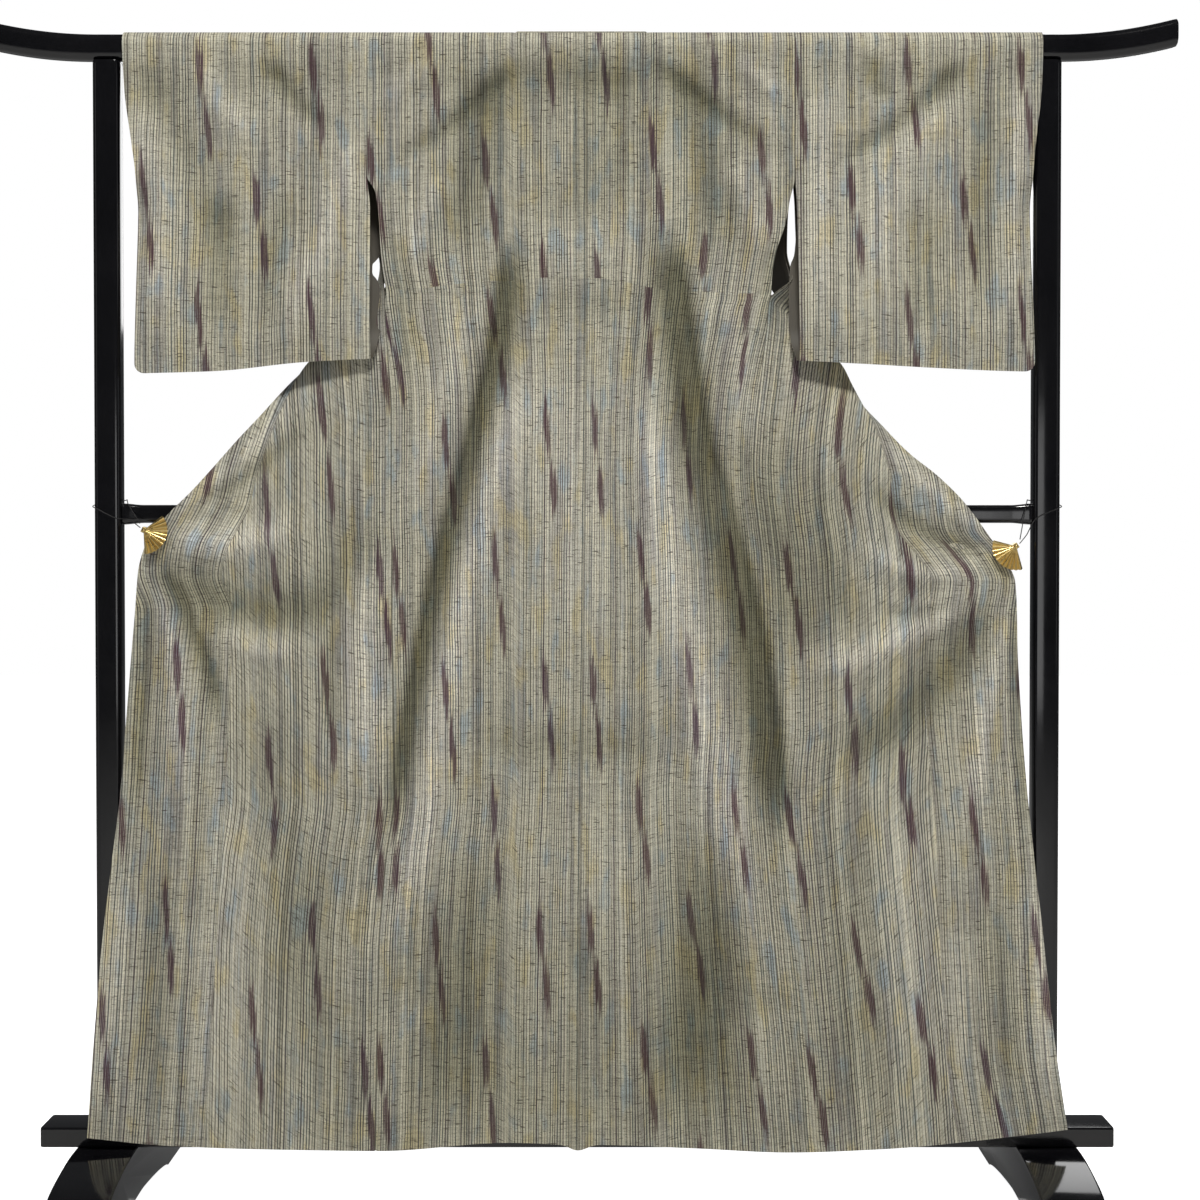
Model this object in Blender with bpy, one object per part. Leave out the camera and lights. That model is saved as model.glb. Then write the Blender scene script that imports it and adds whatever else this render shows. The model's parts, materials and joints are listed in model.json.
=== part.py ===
"""A silk kimono spread over a lacquered kimono stand, its back to the front (-Y).

Units are metres, +Z is up, and the origin is on the floor under the middle of the stand.
The sleeves are threaded on the stand's top bar.  The back hangs in front of the bar, and
the fronts and the collar hang behind it.  Below the sleeves each front is swung out
sideways, where a fan clip, tied to the stand, holds the end of the collar.

Every cloth panel is a wall worked out from a short table: a row of the table is one level
down the cloth, and its columns are the places of the seams at that level.
"""
import math

import bmesh
import bpy
import numpy as np

# ---------------------------------------------------------------- driving dimensions
CLOTH = 0.0015            # thickness of a lined silk panel
COLLAR = 0.0024           # thickness of the folded collar band
LINING = 0.0010           # thickness of the lining shown under the arms
GAP = 0.0004              # room left between two pieces that meet

BAR_TOP = 1.695           # top of the bar that carries the shoulders
BAR_HEIGHT = 0.038
BAR_DEPTH = 0.030
BAR_HALF = 0.866          # half the length of the bar, tips included
BAR_TIP_RUN = 0.170       # length of each upturned tip
BAR_TIP_RISE = 0.022      # how far a tip climbs
CORNER = 0.012            # rounding of the bar's edges

DRAPE = 0.0196            # radius of the cloth's fold over the bar
CROWN = BAR_TOP + 0.0030  # height of the cloth's fold

POST_X = 0.679            # distance of each post from the middle
POST_WIDTH = 0.039
POST_DEPTH = 0.034
RAIL_Z = 1.003            # height of the middle rail
RAIL_HEIGHT = 0.026
RAIL_DEPTH = 0.020
BEAM_HALF = 0.775
BEAM_BOTTOM = 0.088
BEAM_HEIGHT = 0.029
BEAM_DEPTH = 0.080

FOOT_WIDTH = 0.088
FOOT_HALF = 0.300         # half the depth of a foot, front to back
FOOT_ARCH = 0.200         # half the span of the arch under a foot
FOOT_RISE = 0.016         # height of that arch

HEM = 0.095               # height of the hem above the floor at the middle
PLANE_TOP = -DRAPE        # where the hanging back stands at the bar
PLANE_FALL = 0.036        # how far it has come forward at the hem
CUFF = 1.467              # below this height the outer edge of a sleeve is sewn shut
ARMHOLE = 1.490           # below this height a sleeve hangs free of the body
SEAM_TOP = 1.312          # top of the side seams

FAN_RADIUS = 0.034
FAN_RIBS = 11
FAN_THICK = 0.0016
CORD = 0.0012

# ---------------------------------------------------------------- tables of the garment
# Each front, from the shoulder to the hem.  side: the edge at the armhole, then the side
# seam.  join: where the overlap panel is sewn on.  edge: the overlap panel's own edge.
# Each is x, y, z; a level above the overlap panel has no edge.
LEFT_FRONT = (
    # side                      join                       edge
    ((-0.3025, DRAPE, CROWN - DRAPE), (-0.102, DRAPE, CROWN - DRAPE), None),
    ((-0.3025, 0.0205, 1.630), (-0.118, 0.026, 1.632), None),
    ((-0.3025, 0.0212, 1.565), (-0.150, 0.040, 1.570), None),
    ((-0.3018, 0.0215, 1.490), (-0.190, 0.056, 1.500), None),
    ((-0.2955, 0.022, 1.440), (-0.232, 0.070, 1.432), None),
    ((-0.290, 0.016, 1.385), (-0.276, 0.076, 1.362), None),
    ((-0.281, -0.006, 1.345), (-0.318, 0.066, 1.300), (-0.316, 0.074, 1.303)),
    ((-0.276, -0.0255, 1.310), (-0.352, 0.045, 1.258), (-0.348, 0.057, 1.262)),
    ((-0.275, -0.0275, 1.280), (-0.391, 0.004, 1.222), (-0.389, 0.034, 1.224)),
    ((-0.272, -0.0290, 1.240), (-0.416, -0.018, 1.175), (-0.423, -0.006, 1.184)),
    ((-0.269, -0.0300, 1.193), (-0.435, -0.027, 1.130), (-0.454, -0.022, 1.147)),
    ((-0.267, -0.0310, 1.143), (-0.449, -0.030, 1.093), (-0.489, -0.027, 1.109)),
    ((-0.267, -0.0320, 1.094), (-0.461, -0.031, 1.058), (-0.523, -0.029, 1.070)),
    ((-0.267, -0.0330, 1.043), (-0.471, -0.032, 1.013), (-0.557, -0.031, 1.032)),
    ((-0.267, -0.0340, 0.993), (-0.487, -0.033, 0.980), (-0.590, -0.032, 1.000)),
    ((-0.266, -0.0350, 0.947), (-0.502, -0.034, 0.948), (-0.614, -0.033, 0.972)),
    ((-0.266, -0.0360, 0.910), (-0.511, -0.036, 0.912), (-0.631, -0.035, 0.922)),
    ((-0.266, -0.0370, 0.860), (-0.495, -0.037, 0.860), (-0.636, -0.036, 0.862)),
    ((-0.265, -0.0380, 0.800), (-0.496, -0.038, 0.800), (-0.641, -0.038, 0.800)),
    ((-0.264, -0.0400, 0.700), (-0.501, -0.040, 0.700), (-0.649, -0.040, 0.700)),
    ((-0.264, -0.0420, 0.600), (-0.506, -0.042, 0.600), (-0.657, -0.042, 0.600)),
    ((-0.275, -0.0450, 0.500), (-0.511, -0.045, 0.500), (-0.669, -0.045, 0.500)),
    ((-0.285, -0.0480, 0.370), (-0.518, -0.048, 0.372), (-0.683, -0.048, 0.374)),
    ((-0.288, -0.0510, 0.230), (-0.526, -0.051, 0.235), (-0.694, -0.051, 0.240)),
    ((-0.291, -0.0545, 0.087), (-0.535, -0.0545, 0.101), (-0.704, -0.0545, 0.106)),
)
RIGHT_FRONT = (
    # side                     join                      edge
    ((0.3135, DRAPE, CROWN - DRAPE), (0.113, DRAPE, CROWN - DRAPE), None),
    ((0.3135, 0.0205, 1.630), (0.128, 0.026, 1.632), None),
    ((0.3135, 0.0212, 1.565), (0.160, 0.040, 1.570), None),
    ((0.3128, 0.0215, 1.490), (0.198, 0.056, 1.500), None),
    ((0.3070, 0.022, 1.440), (0.236, 0.070, 1.432), None),
    ((0.3050, 0.016, 1.385), (0.272, 0.076, 1.362), None),
    ((0.3110, -0.006, 1.345), (0.312, 0.066, 1.300), (0.310, 0.074, 1.303)),
    ((0.276, -0.0255, 1.310), (0.345, 0.045, 1.262), (0.341, 0.057, 1.266)),
    ((0.272, -0.0280, 1.268), (0.385, 0.002, 1.217), (0.383, 0.030, 1.219)),
    ((0.268, -0.0290, 1.235), (0.397, -0.010, 1.190), (0.397, 0.016, 1.191)),
    ((0.264, -0.0300, 1.200), (0.410, -0.020, 1.163), (0.411, 0.004, 1.165)),
    ((0.260, -0.0310, 1.165), (0.426, -0.028, 1.133), (0.443, -0.022, 1.126)),
    ((0.256, -0.0315, 1.125), (0.440, -0.030, 1.093), (0.479, -0.027, 1.089)),
    ((0.254, -0.0320, 1.080), (0.450, -0.031, 1.055), (0.518, -0.029, 1.058)),
    ((0.256, -0.0330, 1.035), (0.455, -0.032, 1.015), (0.554, -0.031, 1.022)),
    ((0.261, -0.0340, 0.988), (0.462, -0.033, 0.980), (0.583, -0.032, 0.983)),
    ((0.266, -0.0350, 0.939), (0.490, -0.034, 0.940), (0.608, -0.034, 0.948)),
    ((0.268, -0.0360, 0.900), (0.509, -0.036, 0.905), (0.630, -0.035, 0.905)),
    ((0.270, -0.0370, 0.855), (0.503, -0.037, 0.855), (0.633, -0.037, 0.855)),
    ((0.271, -0.0380, 0.800), (0.501, -0.038, 0.800), (0.635, -0.038, 0.800)),
    ((0.272, -0.0400, 0.700), (0.503, -0.040, 0.700), (0.641, -0.040, 0.700)),
    ((0.267, -0.0420, 0.600), (0.511, -0.042, 0.600), (0.649, -0.042, 0.600)),
    ((0.273, -0.0450, 0.500), (0.518, -0.045, 0.500), (0.658, -0.045, 0.500)),
    ((0.285, -0.0480, 0.370), (0.522, -0.048, 0.372), (0.671, -0.048, 0.374)),
    ((0.298, -0.0510, 0.230), (0.529, -0.051, 0.236), (0.686, -0.051, 0.240)),
    ((0.309, -0.0545, 0.084), (0.547, -0.0545, 0.099), (0.705, -0.0545, 0.118)),
)
FIRST_EDGE = 6            # the first level that has an overlap panel

# Half outlines of the back: height, then x of the edge above the side seam.
LEFT_ARMSIDE = ((CROWN, -0.3025), (ARMHOLE, -0.3025), (1.468, -0.291),
                (1.439, -0.286), (1.367, -0.281), (SEAM_TOP + 0.012, -0.2745))
RIGHT_ARMSIDE = ((CROWN, 0.3135), (ARMHOLE, 0.3135), (1.454, 0.306), (1.418, 0.299),
                 (1.382, 0.287), (1.339, 0.2775), (SEAM_TOP + 0.012, 0.2745))
CENTRE_SEAM = ((1.697, 0.013), (1.340, 0.013), (0.880, 0.009), (0.450, 0.004), (0.080, 0.001))
HEM_LINE = ((-0.704, 0.106), (-0.593, 0.095), (-0.400, 0.088), (-0.284, 0.086), (-0.101, 0.098),
            (-0.023, 0.095), (0.001, 0.087), (0.030, 0.095), (0.170, 0.090), (0.305, 0.084),
            (0.436, 0.089), (0.609, 0.106), (0.705, 0.118))
NECK_LEFT = -0.102        # ends of the neckline on the bar
NECK_RIGHT = 0.113
NECK_DROP = 0.008         # how far in front of the fold the neckline lies

# Sleeves: height, outer edge x, inner edge x
LEFT_SLEEVE = ((CROWN, -0.655, -0.3025), (1.612, -0.651, -0.3025), (1.540, -0.641, -0.3025),
               (ARMHOLE, -0.635, -0.3025), (1.430, -0.634, -0.2975), (1.221, -0.634, -0.2960))
RIGHT_SLEEVE = ((CROWN, 0.671, 0.3135), (1.612, 0.668, 0.3135), (1.540, 0.660, 0.3135),
                (ARMHOLE, 0.656, 0.3135), (1.440, 0.654, 0.3160), (1.221, 0.656, 0.3190))
# Bottom edge of each sleeve: x, height
LEFT_SLEEVE_FOOT = ((-0.655, 1.203), (-0.620, 1.204), (-0.520, 1.207), (-0.391, 1.220),
                    (-0.295, 1.225))
RIGHT_SLEEVE_FOOT = ((0.321, 1.222), (0.421, 1.217), (0.507, 1.212), (0.620, 1.207),
                     (0.671, 1.206))
SLEEVE_CORNER = 0.014     # rounding of the lower outer corner
# A sleeve's section: height, middle depth y, half the room between its two walls
SLEEVE_ROOM = ((CROWN - DRAPE, 0.0, DRAPE), (1.630, 0.0, 0.0205), (1.490, 0.0, 0.0215),
               (1.440, -0.0040, 0.0205), (1.380, -0.0130, 0.0175), (1.320, -0.0250, 0.0135),
               (1.270, -0.0340, 0.0090), (1.235, -0.0390, 0.0042), (1.200, -0.0410, 0.0011))

# The collar band from the middle of the neck to the clip: sewn edge, free edge (x, y, z)
LEFT_COLLAR = (
    ((-0.050, -0.005, 1.6965), (-0.035, 0.0205, 1.657)),
    ((-0.084, -0.005, 1.6965), (-0.052, 0.0215, 1.651)),
    ((-0.090, 0.005, 1.6970), (-0.056, 0.0225, 1.647)),
    ((-0.094, 0.0150, 1.6915), (-0.061, 0.0240, 1.641)),
    ((-0.0965, 0.0225, 1.672), (-0.067, 0.0265, 1.631)),
    ((-0.114, 0.029, 1.631), (-0.077, 0.036, 1.600)),
    ((-0.147, 0.043, 1.568), (-0.106, 0.050, 1.541)),
    ((-0.187, 0.060, 1.498), (-0.147, 0.072, 1.470)),
    ((-0.230, 0.075, 1.429), (-0.192, 0.090, 1.400)),
    ((-0.274, 0.082, 1.359), (-0.238, 0.099, 1.328)),
    ((-0.314, 0.081, 1.299), (-0.278, 0.097, 1.266)),
    ((-0.347, 0.064, 1.259), (-0.312, 0.080, 1.226)),
    ((-0.386, 0.041, 1.220), (-0.352, 0.056, 1.186)),
    ((-0.418, 0.004, 1.180), (-0.386, 0.020, 1.143)),
    ((-0.450, -0.015, 1.144), (-0.416, -0.006, 1.108)),
    ((-0.486, -0.0220, 1.106), (-0.450, -0.014, 1.071)),
    ((-0.520, -0.0245, 1.067), (-0.484, -0.018, 1.032)),
    ((-0.554, -0.0260, 1.029), (-0.518, -0.021, 0.993)),
    ((-0.586, -0.0270, 0.997), (-0.550, -0.023, 0.961)),
    ((-0.606, -0.0280, 0.977), (-0.572, -0.024, 0.940)),
)
RIGHT_COLLAR = (
    ((0.060, -0.005, 1.6965), (0.046, 0.0205, 1.657)),
    ((0.096, -0.005, 1.6965), (0.064, 0.0215, 1.651)),
    ((0.102, 0.005, 1.6970), (0.068, 0.0225, 1.647)),
    ((0.106, 0.0150, 1.6915), (0.073, 0.0240, 1.641)),
    ((0.1090, 0.0225, 1.672), (0.080, 0.0265, 1.631)),
    ((0.124, 0.029, 1.631), (0.088, 0.036, 1.600)),
    ((0.157, 0.043, 1.568), (0.117, 0.050, 1.541)),
    ((0.195, 0.060, 1.498), (0.156, 0.072, 1.470)),
    ((0.234, 0.075, 1.429), (0.197, 0.090, 1.400)),
    ((0.270, 0.082, 1.359), (0.235, 0.099, 1.328)),
    ((0.308, 0.081, 1.299), (0.273, 0.097, 1.266)),
    ((0.340, 0.064, 1.263), (0.305, 0.080, 1.230)),
    ((0.380, 0.037, 1.215), (0.346, 0.052, 1.181)),
    ((0.394, 0.023, 1.187), (0.362, 0.038, 1.151)),
    ((0.408, 0.011, 1.161), (0.377, 0.026, 1.124)),
    ((0.440, -0.015, 1.122), (0.407, -0.005, 1.086)),
    ((0.476, -0.0210, 1.085), (0.441, -0.012, 1.050)),
    ((0.515, -0.0235, 1.054), (0.480, -0.017, 1.018)),
    ((0.551, -0.0255, 1.018), (0.514, -0.020, 0.984)),
    ((0.579, -0.0265, 0.979), (0.539, -0.023, 0.951)),
    ((0.600, -0.0275, 0.952), (0.560, -0.024, 0.927)),
)
COLLAR_MIDDLE = ((0.006, -0.005, 1.6965), (0.006, 0.0205, 1.660))

# The largest folds: from x, z to x, z, half width, and height towards -Y
FOLDS = (
    (-0.130, 1.620, -0.265, 1.330, 0.030, 0.010),
    (-0.085, 1.610, -0.200, 1.250, 0.026, -0.007),
    (-0.150, 1.190, -0.245, 0.750, 0.034, 0.012),
    (-0.105, 1.000, -0.180, 0.300, 0.040, 0.009),
    (0.145, 1.640, 0.260, 1.300, 0.030, 0.010),
    (0.160, 1.190, 0.255, 0.830, 0.018, -0.010),
    (0.190, 1.080, 0.290, 0.660, 0.026, 0.013),
    (0.180, 0.560, 0.262, 0.300, 0.030, 0.010),
    (-0.440, 0.870, -0.330, 0.560, 0.045, 0.009),
    (-0.590, 0.900, -0.560, 0.350, 0.030, 0.010),
    (0.380, 0.800, 0.420, 0.300, 0.045, 0.010),
    (0.590, 0.850, 0.600, 0.300, 0.030, 0.009),
    (-0.640, 0.600, -0.655, 0.150, 0.022, 0.007),
    (0.075, 0.700, 0.120, 0.150, 0.040, 0.006),
)


# ---------------------------------------------------------------- clearing and materials
def clear_scene():
    """Remove whatever the scene holds."""
    for thing in list(bpy.data.objects):
        bpy.data.objects.remove(thing, do_unlink=True)


def make_material(name, colour, roughness, metallic=0.0):
    """A Principled material with one colour, roughness and metallic value."""
    material = bpy.data.materials.new(name)
    material.use_nodes = True
    shader = material.node_tree.nodes["Principled BSDF"]
    shader.inputs["Base Color"].default_value = (*colour, 1.0)
    shader.inputs["Roughness"].default_value = roughness
    shader.inputs["Metallic"].default_value = metallic
    return material


# ---------------------------------------------------------------- helpers for surfaces
def smooth_through(rows, wanted):
    """Curve through every row: cubic pieces whose slopes are the weighted neighbours'.

    rows is an array whose first axis is the level; wanted holds fractional level numbers.
    Where the slope changes sign the curve is level there, so that it never overshoots.
    """
    rows = np.asarray(rows, float)
    step = np.diff(rows, axis=0)
    slope = np.zeros_like(rows)
    slope[0] = step[0]
    slope[-1] = step[-1]
    before, after = step[:-1], step[1:]
    same_way = before * after > 0
    total = np.where(same_way, before + after, 1.0)
    slope[1:-1] = np.where(same_way, 2.0 * before * after / total, 0.0)
    low = np.clip(np.floor(wanted).astype(int), 0, len(rows) - 2)
    t = (wanted - low).reshape(-1, *([1] * (rows.ndim - 1)))
    t2, t3 = t * t, t * t * t
    return ((2 * t3 - 3 * t2 + 1) * rows[low] + (t3 - 2 * t2 + t) * slope[low]
            + (3 * t2 - 2 * t3) * rows[low + 1] + (t3 - t2) * slope[low + 1])


def look_up(table, where, column=1):
    """Straight-line reading of a table whose first column is the place."""
    table = sorted(table)
    return np.interp(where, [row[0] for row in table], [row[column] for row in table])


def fold_height(x, z):
    """Sum of the big folds: each is a bell across its line and fades at both ends."""
    height = np.zeros_like(x)
    for x0, z0, x1, z1, width, rise in FOLDS:
        length2 = (x1 - x0) ** 2 + (z1 - z0) ** 2
        along = ((x - x0) * (x1 - x0) + (z - z0) * (z1 - z0)) / length2
        held = np.clip(along, 0.0, 1.0)
        across2 = (x - x0 - held * (x1 - x0)) ** 2 + (z - z0 - held * (z1 - z0)) ** 2
        fade = np.sin(math.pi * np.clip(along, 0.02, 0.98)) ** 0.7
        height += rise * fade * np.exp(-across2 / width ** 2)
    return height


def unit(vectors):
    """Vectors scaled to length one."""
    return vectors / np.maximum(np.linalg.norm(vectors, axis=-1, keepdims=True), 1e-12)


def grid_normals(grid):
    """Normals of a grid of points: the cross product of its two directions."""
    down = np.gradient(grid, axis=0)
    across = np.gradient(grid, axis=1)
    return unit(np.cross(across, down))


def draw_in(grid, start=0.0, end=0.0, top=0.0, bottom=0.0):
    """Move the edges of a grid inwards along its rows and columns, to leave seam gaps."""
    grid = grid.copy()
    grid[:, 0] += unit(grid[:, 1] - grid[:, 0]) * start
    grid[:, -1] += unit(grid[:, -2] - grid[:, -1]) * end
    grid[0] += unit(grid[1] - grid[0]) * top
    grid[-1] += unit(grid[-2] - grid[-1]) * bottom
    return grid


def finish_mesh(name, verts, faces, material, smooth=True):
    """Put points and faces in an object, with every face pointing outwards."""
    mesh = bpy.data.meshes.new(name)
    mesh.from_pydata([tuple(map(float, v)) for v in verts], [], faces)
    shape = bmesh.new()
    shape.from_mesh(mesh)
    if shape.calc_volume(signed=True) < 0:
        bmesh.ops.reverse_faces(shape, faces=shape.faces)
    shape.to_mesh(mesh)
    shape.free()
    if smooth:
        mesh.shade_smooth()
        mesh.set_sharp_from_angle(angle=math.radians(40))
    mesh.materials.append(material)
    thing = bpy.data.objects.new(name, mesh)
    bpy.context.scene.collection.objects.link(thing)
    return thing


def wall(name, grid, normals, thickness, material):
    """Closed wall on both sides of a grid: two skins half a thickness out, and a rim."""
    rows, columns = grid.shape[:2]
    outer = (grid + normals * thickness / 2).reshape(-1, 3)
    inner = (grid - normals * thickness / 2).reshape(-1, 3)
    count = rows * columns

    def at(row, column):
        return row * columns + column

    faces = []
    for i in range(rows - 1):
        for j in range(columns - 1):
            # both skins are cut along the same diagonal, so that they stay one thickness apart
            for ring in ((at(i, j), at(i, j + 1), at(i + 1, j + 1)),
                         (at(i, j), at(i + 1, j + 1), at(i + 1, j))):
                faces.append(ring)
                faces.append(tuple(count + k for k in reversed(ring)))
    border = ([at(0, j) for j in range(columns)] + [at(i, columns - 1) for i in range(1, rows)]
              + [at(rows - 1, j) for j in range(columns - 2, -1, -1)]
              + [at(i, 0) for i in range(rows - 2, 0, -1)])
    for a, b in zip(border, border[1:] + border[:1]):
        faces.append((b, a, count + a, count + b))
    return finish_mesh(name, np.vstack((outer, inner)), faces, material)


def loft(name, sections, material, smooth=True):
    """Closed solid through a list of sections with the same number of points."""
    sections = np.asarray(sections, float)
    count, points = sections.shape[:2]
    faces = [tuple(range(points))[::-1],
             tuple((count - 1) * points + k for k in range(points))]
    for i in range(count - 1):
        for k in range(points):
            after = (k + 1) % points
            faces.append((i * points + k, i * points + after,
                          (i + 1) * points + after, (i + 1) * points + k))
    return finish_mesh(name, sections.reshape(-1, 3), faces, material, smooth)


def rounded_outline(width, height, radius, steps=3):
    """Points round a rectangle with quarter-circle corners, centred on zero."""
    points = []
    for corner in range(4):
        start = corner * math.pi / 2
        cx = (width / 2 - radius) * (1 if corner in (0, 3) else -1)
        cy = (height / 2 - radius) * (1 if corner in (0, 1) else -1)
        for k in range(steps + 1):
            angle = start + k * math.pi / 2 / steps
            points.append((cx + radius * math.cos(angle), cy + radius * math.sin(angle)))
    return np.array(points)


# ---------------------------------------------------------------- the stand
def make_top_bar(lacquer):
    """Straight rounded bar whose two tips climb in a curve and grow a little."""
    outline = rounded_outline(BAR_DEPTH, BAR_HEIGHT, CORNER)
    run = np.linspace(0, 1, 7)
    tip = BAR_HALF - BAR_TIP_RUN * (1 - run)
    stations = np.concatenate((-tip[::-1], tip))
    sections = []
    for x in stations:
        along = max(0.0, (abs(x) - (BAR_HALF - BAR_TIP_RUN)) / BAR_TIP_RUN)
        lift = BAR_TIP_RISE * along ** 2
        grow = 1.0 + 0.05 * along
        sections.append([(x, y * grow, BAR_TOP - BAR_HEIGHT / 2 + lift + z * grow)
                         for y, z in outline])
    return loft("top_bar", sections, lacquer)


def make_post(name, side, lacquer):
    """Upright post with rounded edges, from the beam to the underside of the bar."""
    outline = rounded_outline(POST_WIDTH, POST_DEPTH, 0.008, 2)
    low = BEAM_BOTTOM + BEAM_HEIGHT + GAP
    high = BAR_TOP - BAR_HEIGHT - GAP
    sections = [[(side * POST_X + x, y, z) for x, y in outline] for z in (low, high)]
    return loft(name, sections, lacquer)


def make_mid_rail(lacquer):
    """Level rail between the posts, a little thicker where it enters them."""
    reach = POST_X - POST_WIDTH / 2 - GAP
    outline = rounded_outline(RAIL_DEPTH, RAIL_HEIGHT, 0.006, 2)
    sections = []
    for x, grow in ((-reach, 1.18), (-reach + 0.012, 1.12), (-reach + 0.030, 1.0),
                    (reach - 0.030, 1.0), (reach - 0.012, 1.12), (reach, 1.18)):
        sections.append([(x, y * grow, RAIL_Z + z * grow) for y, z in outline])
    return loft("mid_rail", sections, lacquer)


def make_lower_beam(lacquer):
    """Flat beam that joins the feet and carries the posts."""
    outline = rounded_outline(BEAM_DEPTH, BEAM_HEIGHT, 0.003, 2)
    middle = BEAM_BOTTOM + BEAM_HEIGHT / 2
    ends = ((-BEAM_HALF, 0.96), (-BEAM_HALF + 0.003, 1.0), (BEAM_HALF - 0.003, 1.0),
            (BEAM_HALF, 0.96))
    sections = [[(x, y * grow, middle + z * grow) for y, z in outline] for x, grow in ends]
    return loft("lower_beam", sections, lacquer)


def foot_profile():
    """Side view of a foot: a low bridge on two pads, with a top that slopes to round toes."""
    top = BEAM_BOTTOM - GAP
    profile = [(-FOOT_HALF, 0.0)]
    # the toe rises as a quarter of an oval, then the top slopes up to a flat seat
    for k in range(1, 6):
        angle = k * math.pi / 2 / 5
        profile.append((-FOOT_HALF + 0.045 * (1 - math.cos(angle)) - 0.012 * math.sin(2 * angle),
                        0.050 * math.sin(angle)))
    profile += [(-0.205, 0.067), (-0.140, 0.079), (-0.080, 0.086), (-0.045, top)]
    profile += [(-y, z) for y, z in reversed(profile)]
    # the arch underneath: half a wave between the pads
    for k in range(9):
        across = FOOT_ARCH * (1 - k / 4)
        profile.append((across, FOOT_RISE * math.cos(math.pi / 2 * across / FOOT_ARCH) ** 0.7))
    return profile


def make_foot(name, side, lacquer):
    """Bridge-shaped foot: its side view carried across its width, with softened edges."""
    profile = np.array(foot_profile())
    centre = np.array([0.0, 0.045])
    sections = []
    for across, shrink in ((-0.5, 0.0030), (-0.45, 0.0), (0.45, 0.0), (0.5, 0.0030)):
        inward = unit(centre - profile) * shrink
        shaped = profile + inward
        shaped[:, 1] = np.where(profile[:, 1] < 1e-6, 0.0, shaped[:, 1])
        x = side * POST_X + across * FOOT_WIDTH
        sections.append([(x, y, z) for y, z in shaped])
    return loft(name, sections, lacquer, smooth=False)


# ---------------------------------------------------------------- the cloth
def over_the_bar(start, side_y):
    """Rows of the fold over the bar, from the crown to the level where cloth hangs.

    start is how far round, as an angle, the cloth begins; side_y is -1 in front, 1 behind.
    Gives depth y and height z at three angles of the quarter circle.
    """
    angles = start + (math.pi / 2 - start) * np.array([0.0, 0.34, 0.67])
    return side_y * DRAPE * np.sin(angles), CROWN - DRAPE * (1 - np.cos(angles))


def round_the_fold(grid, normals):
    """Make the normals of the rows on the bar point straight out from the fold's middle."""
    radial = grid[:4] - np.array([0.0, 0.0, CROWN - DRAPE])
    radial[..., 0] = 0.0
    radial = unit(radial)
    facing = np.sign(np.sum(radial[2] * normals[2], axis=-1).mean())
    normals[:4] = radial * facing
    return unit(normals)


def plane_depth(z):
    """Depth of the hanging cloth: it comes evenly forward from the bar to the hem."""
    return PLANE_TOP - PLANE_FALL * np.clip((CROWN - DRAPE - z) / (CROWN - DRAPE - HEM), 0, 1)


def make_back(name, armside, neck, seam, silk):
    """Half of the back: from the centre seam to the arm edge, then to the side seam.

    seam holds the points that the front has along the side seam; the back ends on them.
    """
    across = np.linspace(0.0, 1.0, 9)
    top = CROWN - DRAPE
    free_levels = np.append(np.linspace(top, SEAM_TOP, 9)[:-1], SEAM_TOP + 0.012)
    levels = np.concatenate((free_levels, seam[:, 2]))
    outer = np.concatenate((look_up(armside, free_levels), seam[:, 0]))
    middle = look_up(CENTRE_SEAM, levels)
    x = middle[:, None] + (outer - middle)[:, None] * across
    fall = ((top - levels) / (top - levels[-1]))[:, None]
    z = top + (look_up(HEM_LINE, x) - top) * fall
    z[len(free_levels):, -1] = seam[:, 2]
    y = plane_depth(z) - fold_height(x, z)
    y[0] = PLANE_TOP
    step = seam[:, 1] - y[len(free_levels):, -1]
    y[len(free_levels):] += step[:, None] * across ** 3
    hanging = np.stack((x, y, z), axis=-1)
    inside_neck = np.clip((abs(neck) + 0.012 - abs(x[0])) / 0.012, 0.0, 1.0)
    start = math.asin(NECK_DROP / DRAPE) * inside_neck
    crown = np.zeros((3, len(across), 3))
    for column, begin in enumerate(start):
        depth, height = over_the_bar(begin, -1)
        crown[:, column] = np.stack((np.full(3, x[0, column]), depth, height), axis=-1)
    grid = np.vstack((crown, hanging))
    normals = grid_normals(grid)
    normals[:, 0, 0] = 0.0
    normals[:, -1, 0] = 0.0
    normals = round_the_fold(grid, normals)
    grid = draw_in(grid, GAP / 2, GAP / 2, GAP / 2)
    return wall(name, grid, normals, CLOTH, silk)


def front_grids(front):
    """The front and its overlap panel as one sheet of points, cut at their seam."""
    side = np.array([row[0] for row in front])
    join = np.array([row[1] for row in front])
    edge = np.array([row[2] if row[2] else row[1] for row in front])
    across = np.linspace(0, 1, 8)[None, :, None]
    body = side[:, None] * (1 - across) + join[:, None] * across
    across = np.linspace(0, 1, 5)[None, :, None]
    first = FIRST_EDGE
    over = join[first:, None] * (1 - across) + edge[first:, None] * across
    foot = look_up(HEM_LINE, body[..., 0])
    fade = np.clip((1.16 - body[..., 2]) / 0.10, 0, 1)
    body[..., 1] -= fold_height(body[..., 0], body[..., 2]) * fade
    fade = np.clip((0.93 - over[..., 2]) / 0.08, 0, 1)
    over[..., 1] -= fold_height(over[..., 0], over[..., 2]) * fade
    body[-1, :, 2] = foot[-1]
    over[-1, :, 2] = look_up(HEM_LINE, over[-1, :, 0])
    return body, over, first


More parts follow.
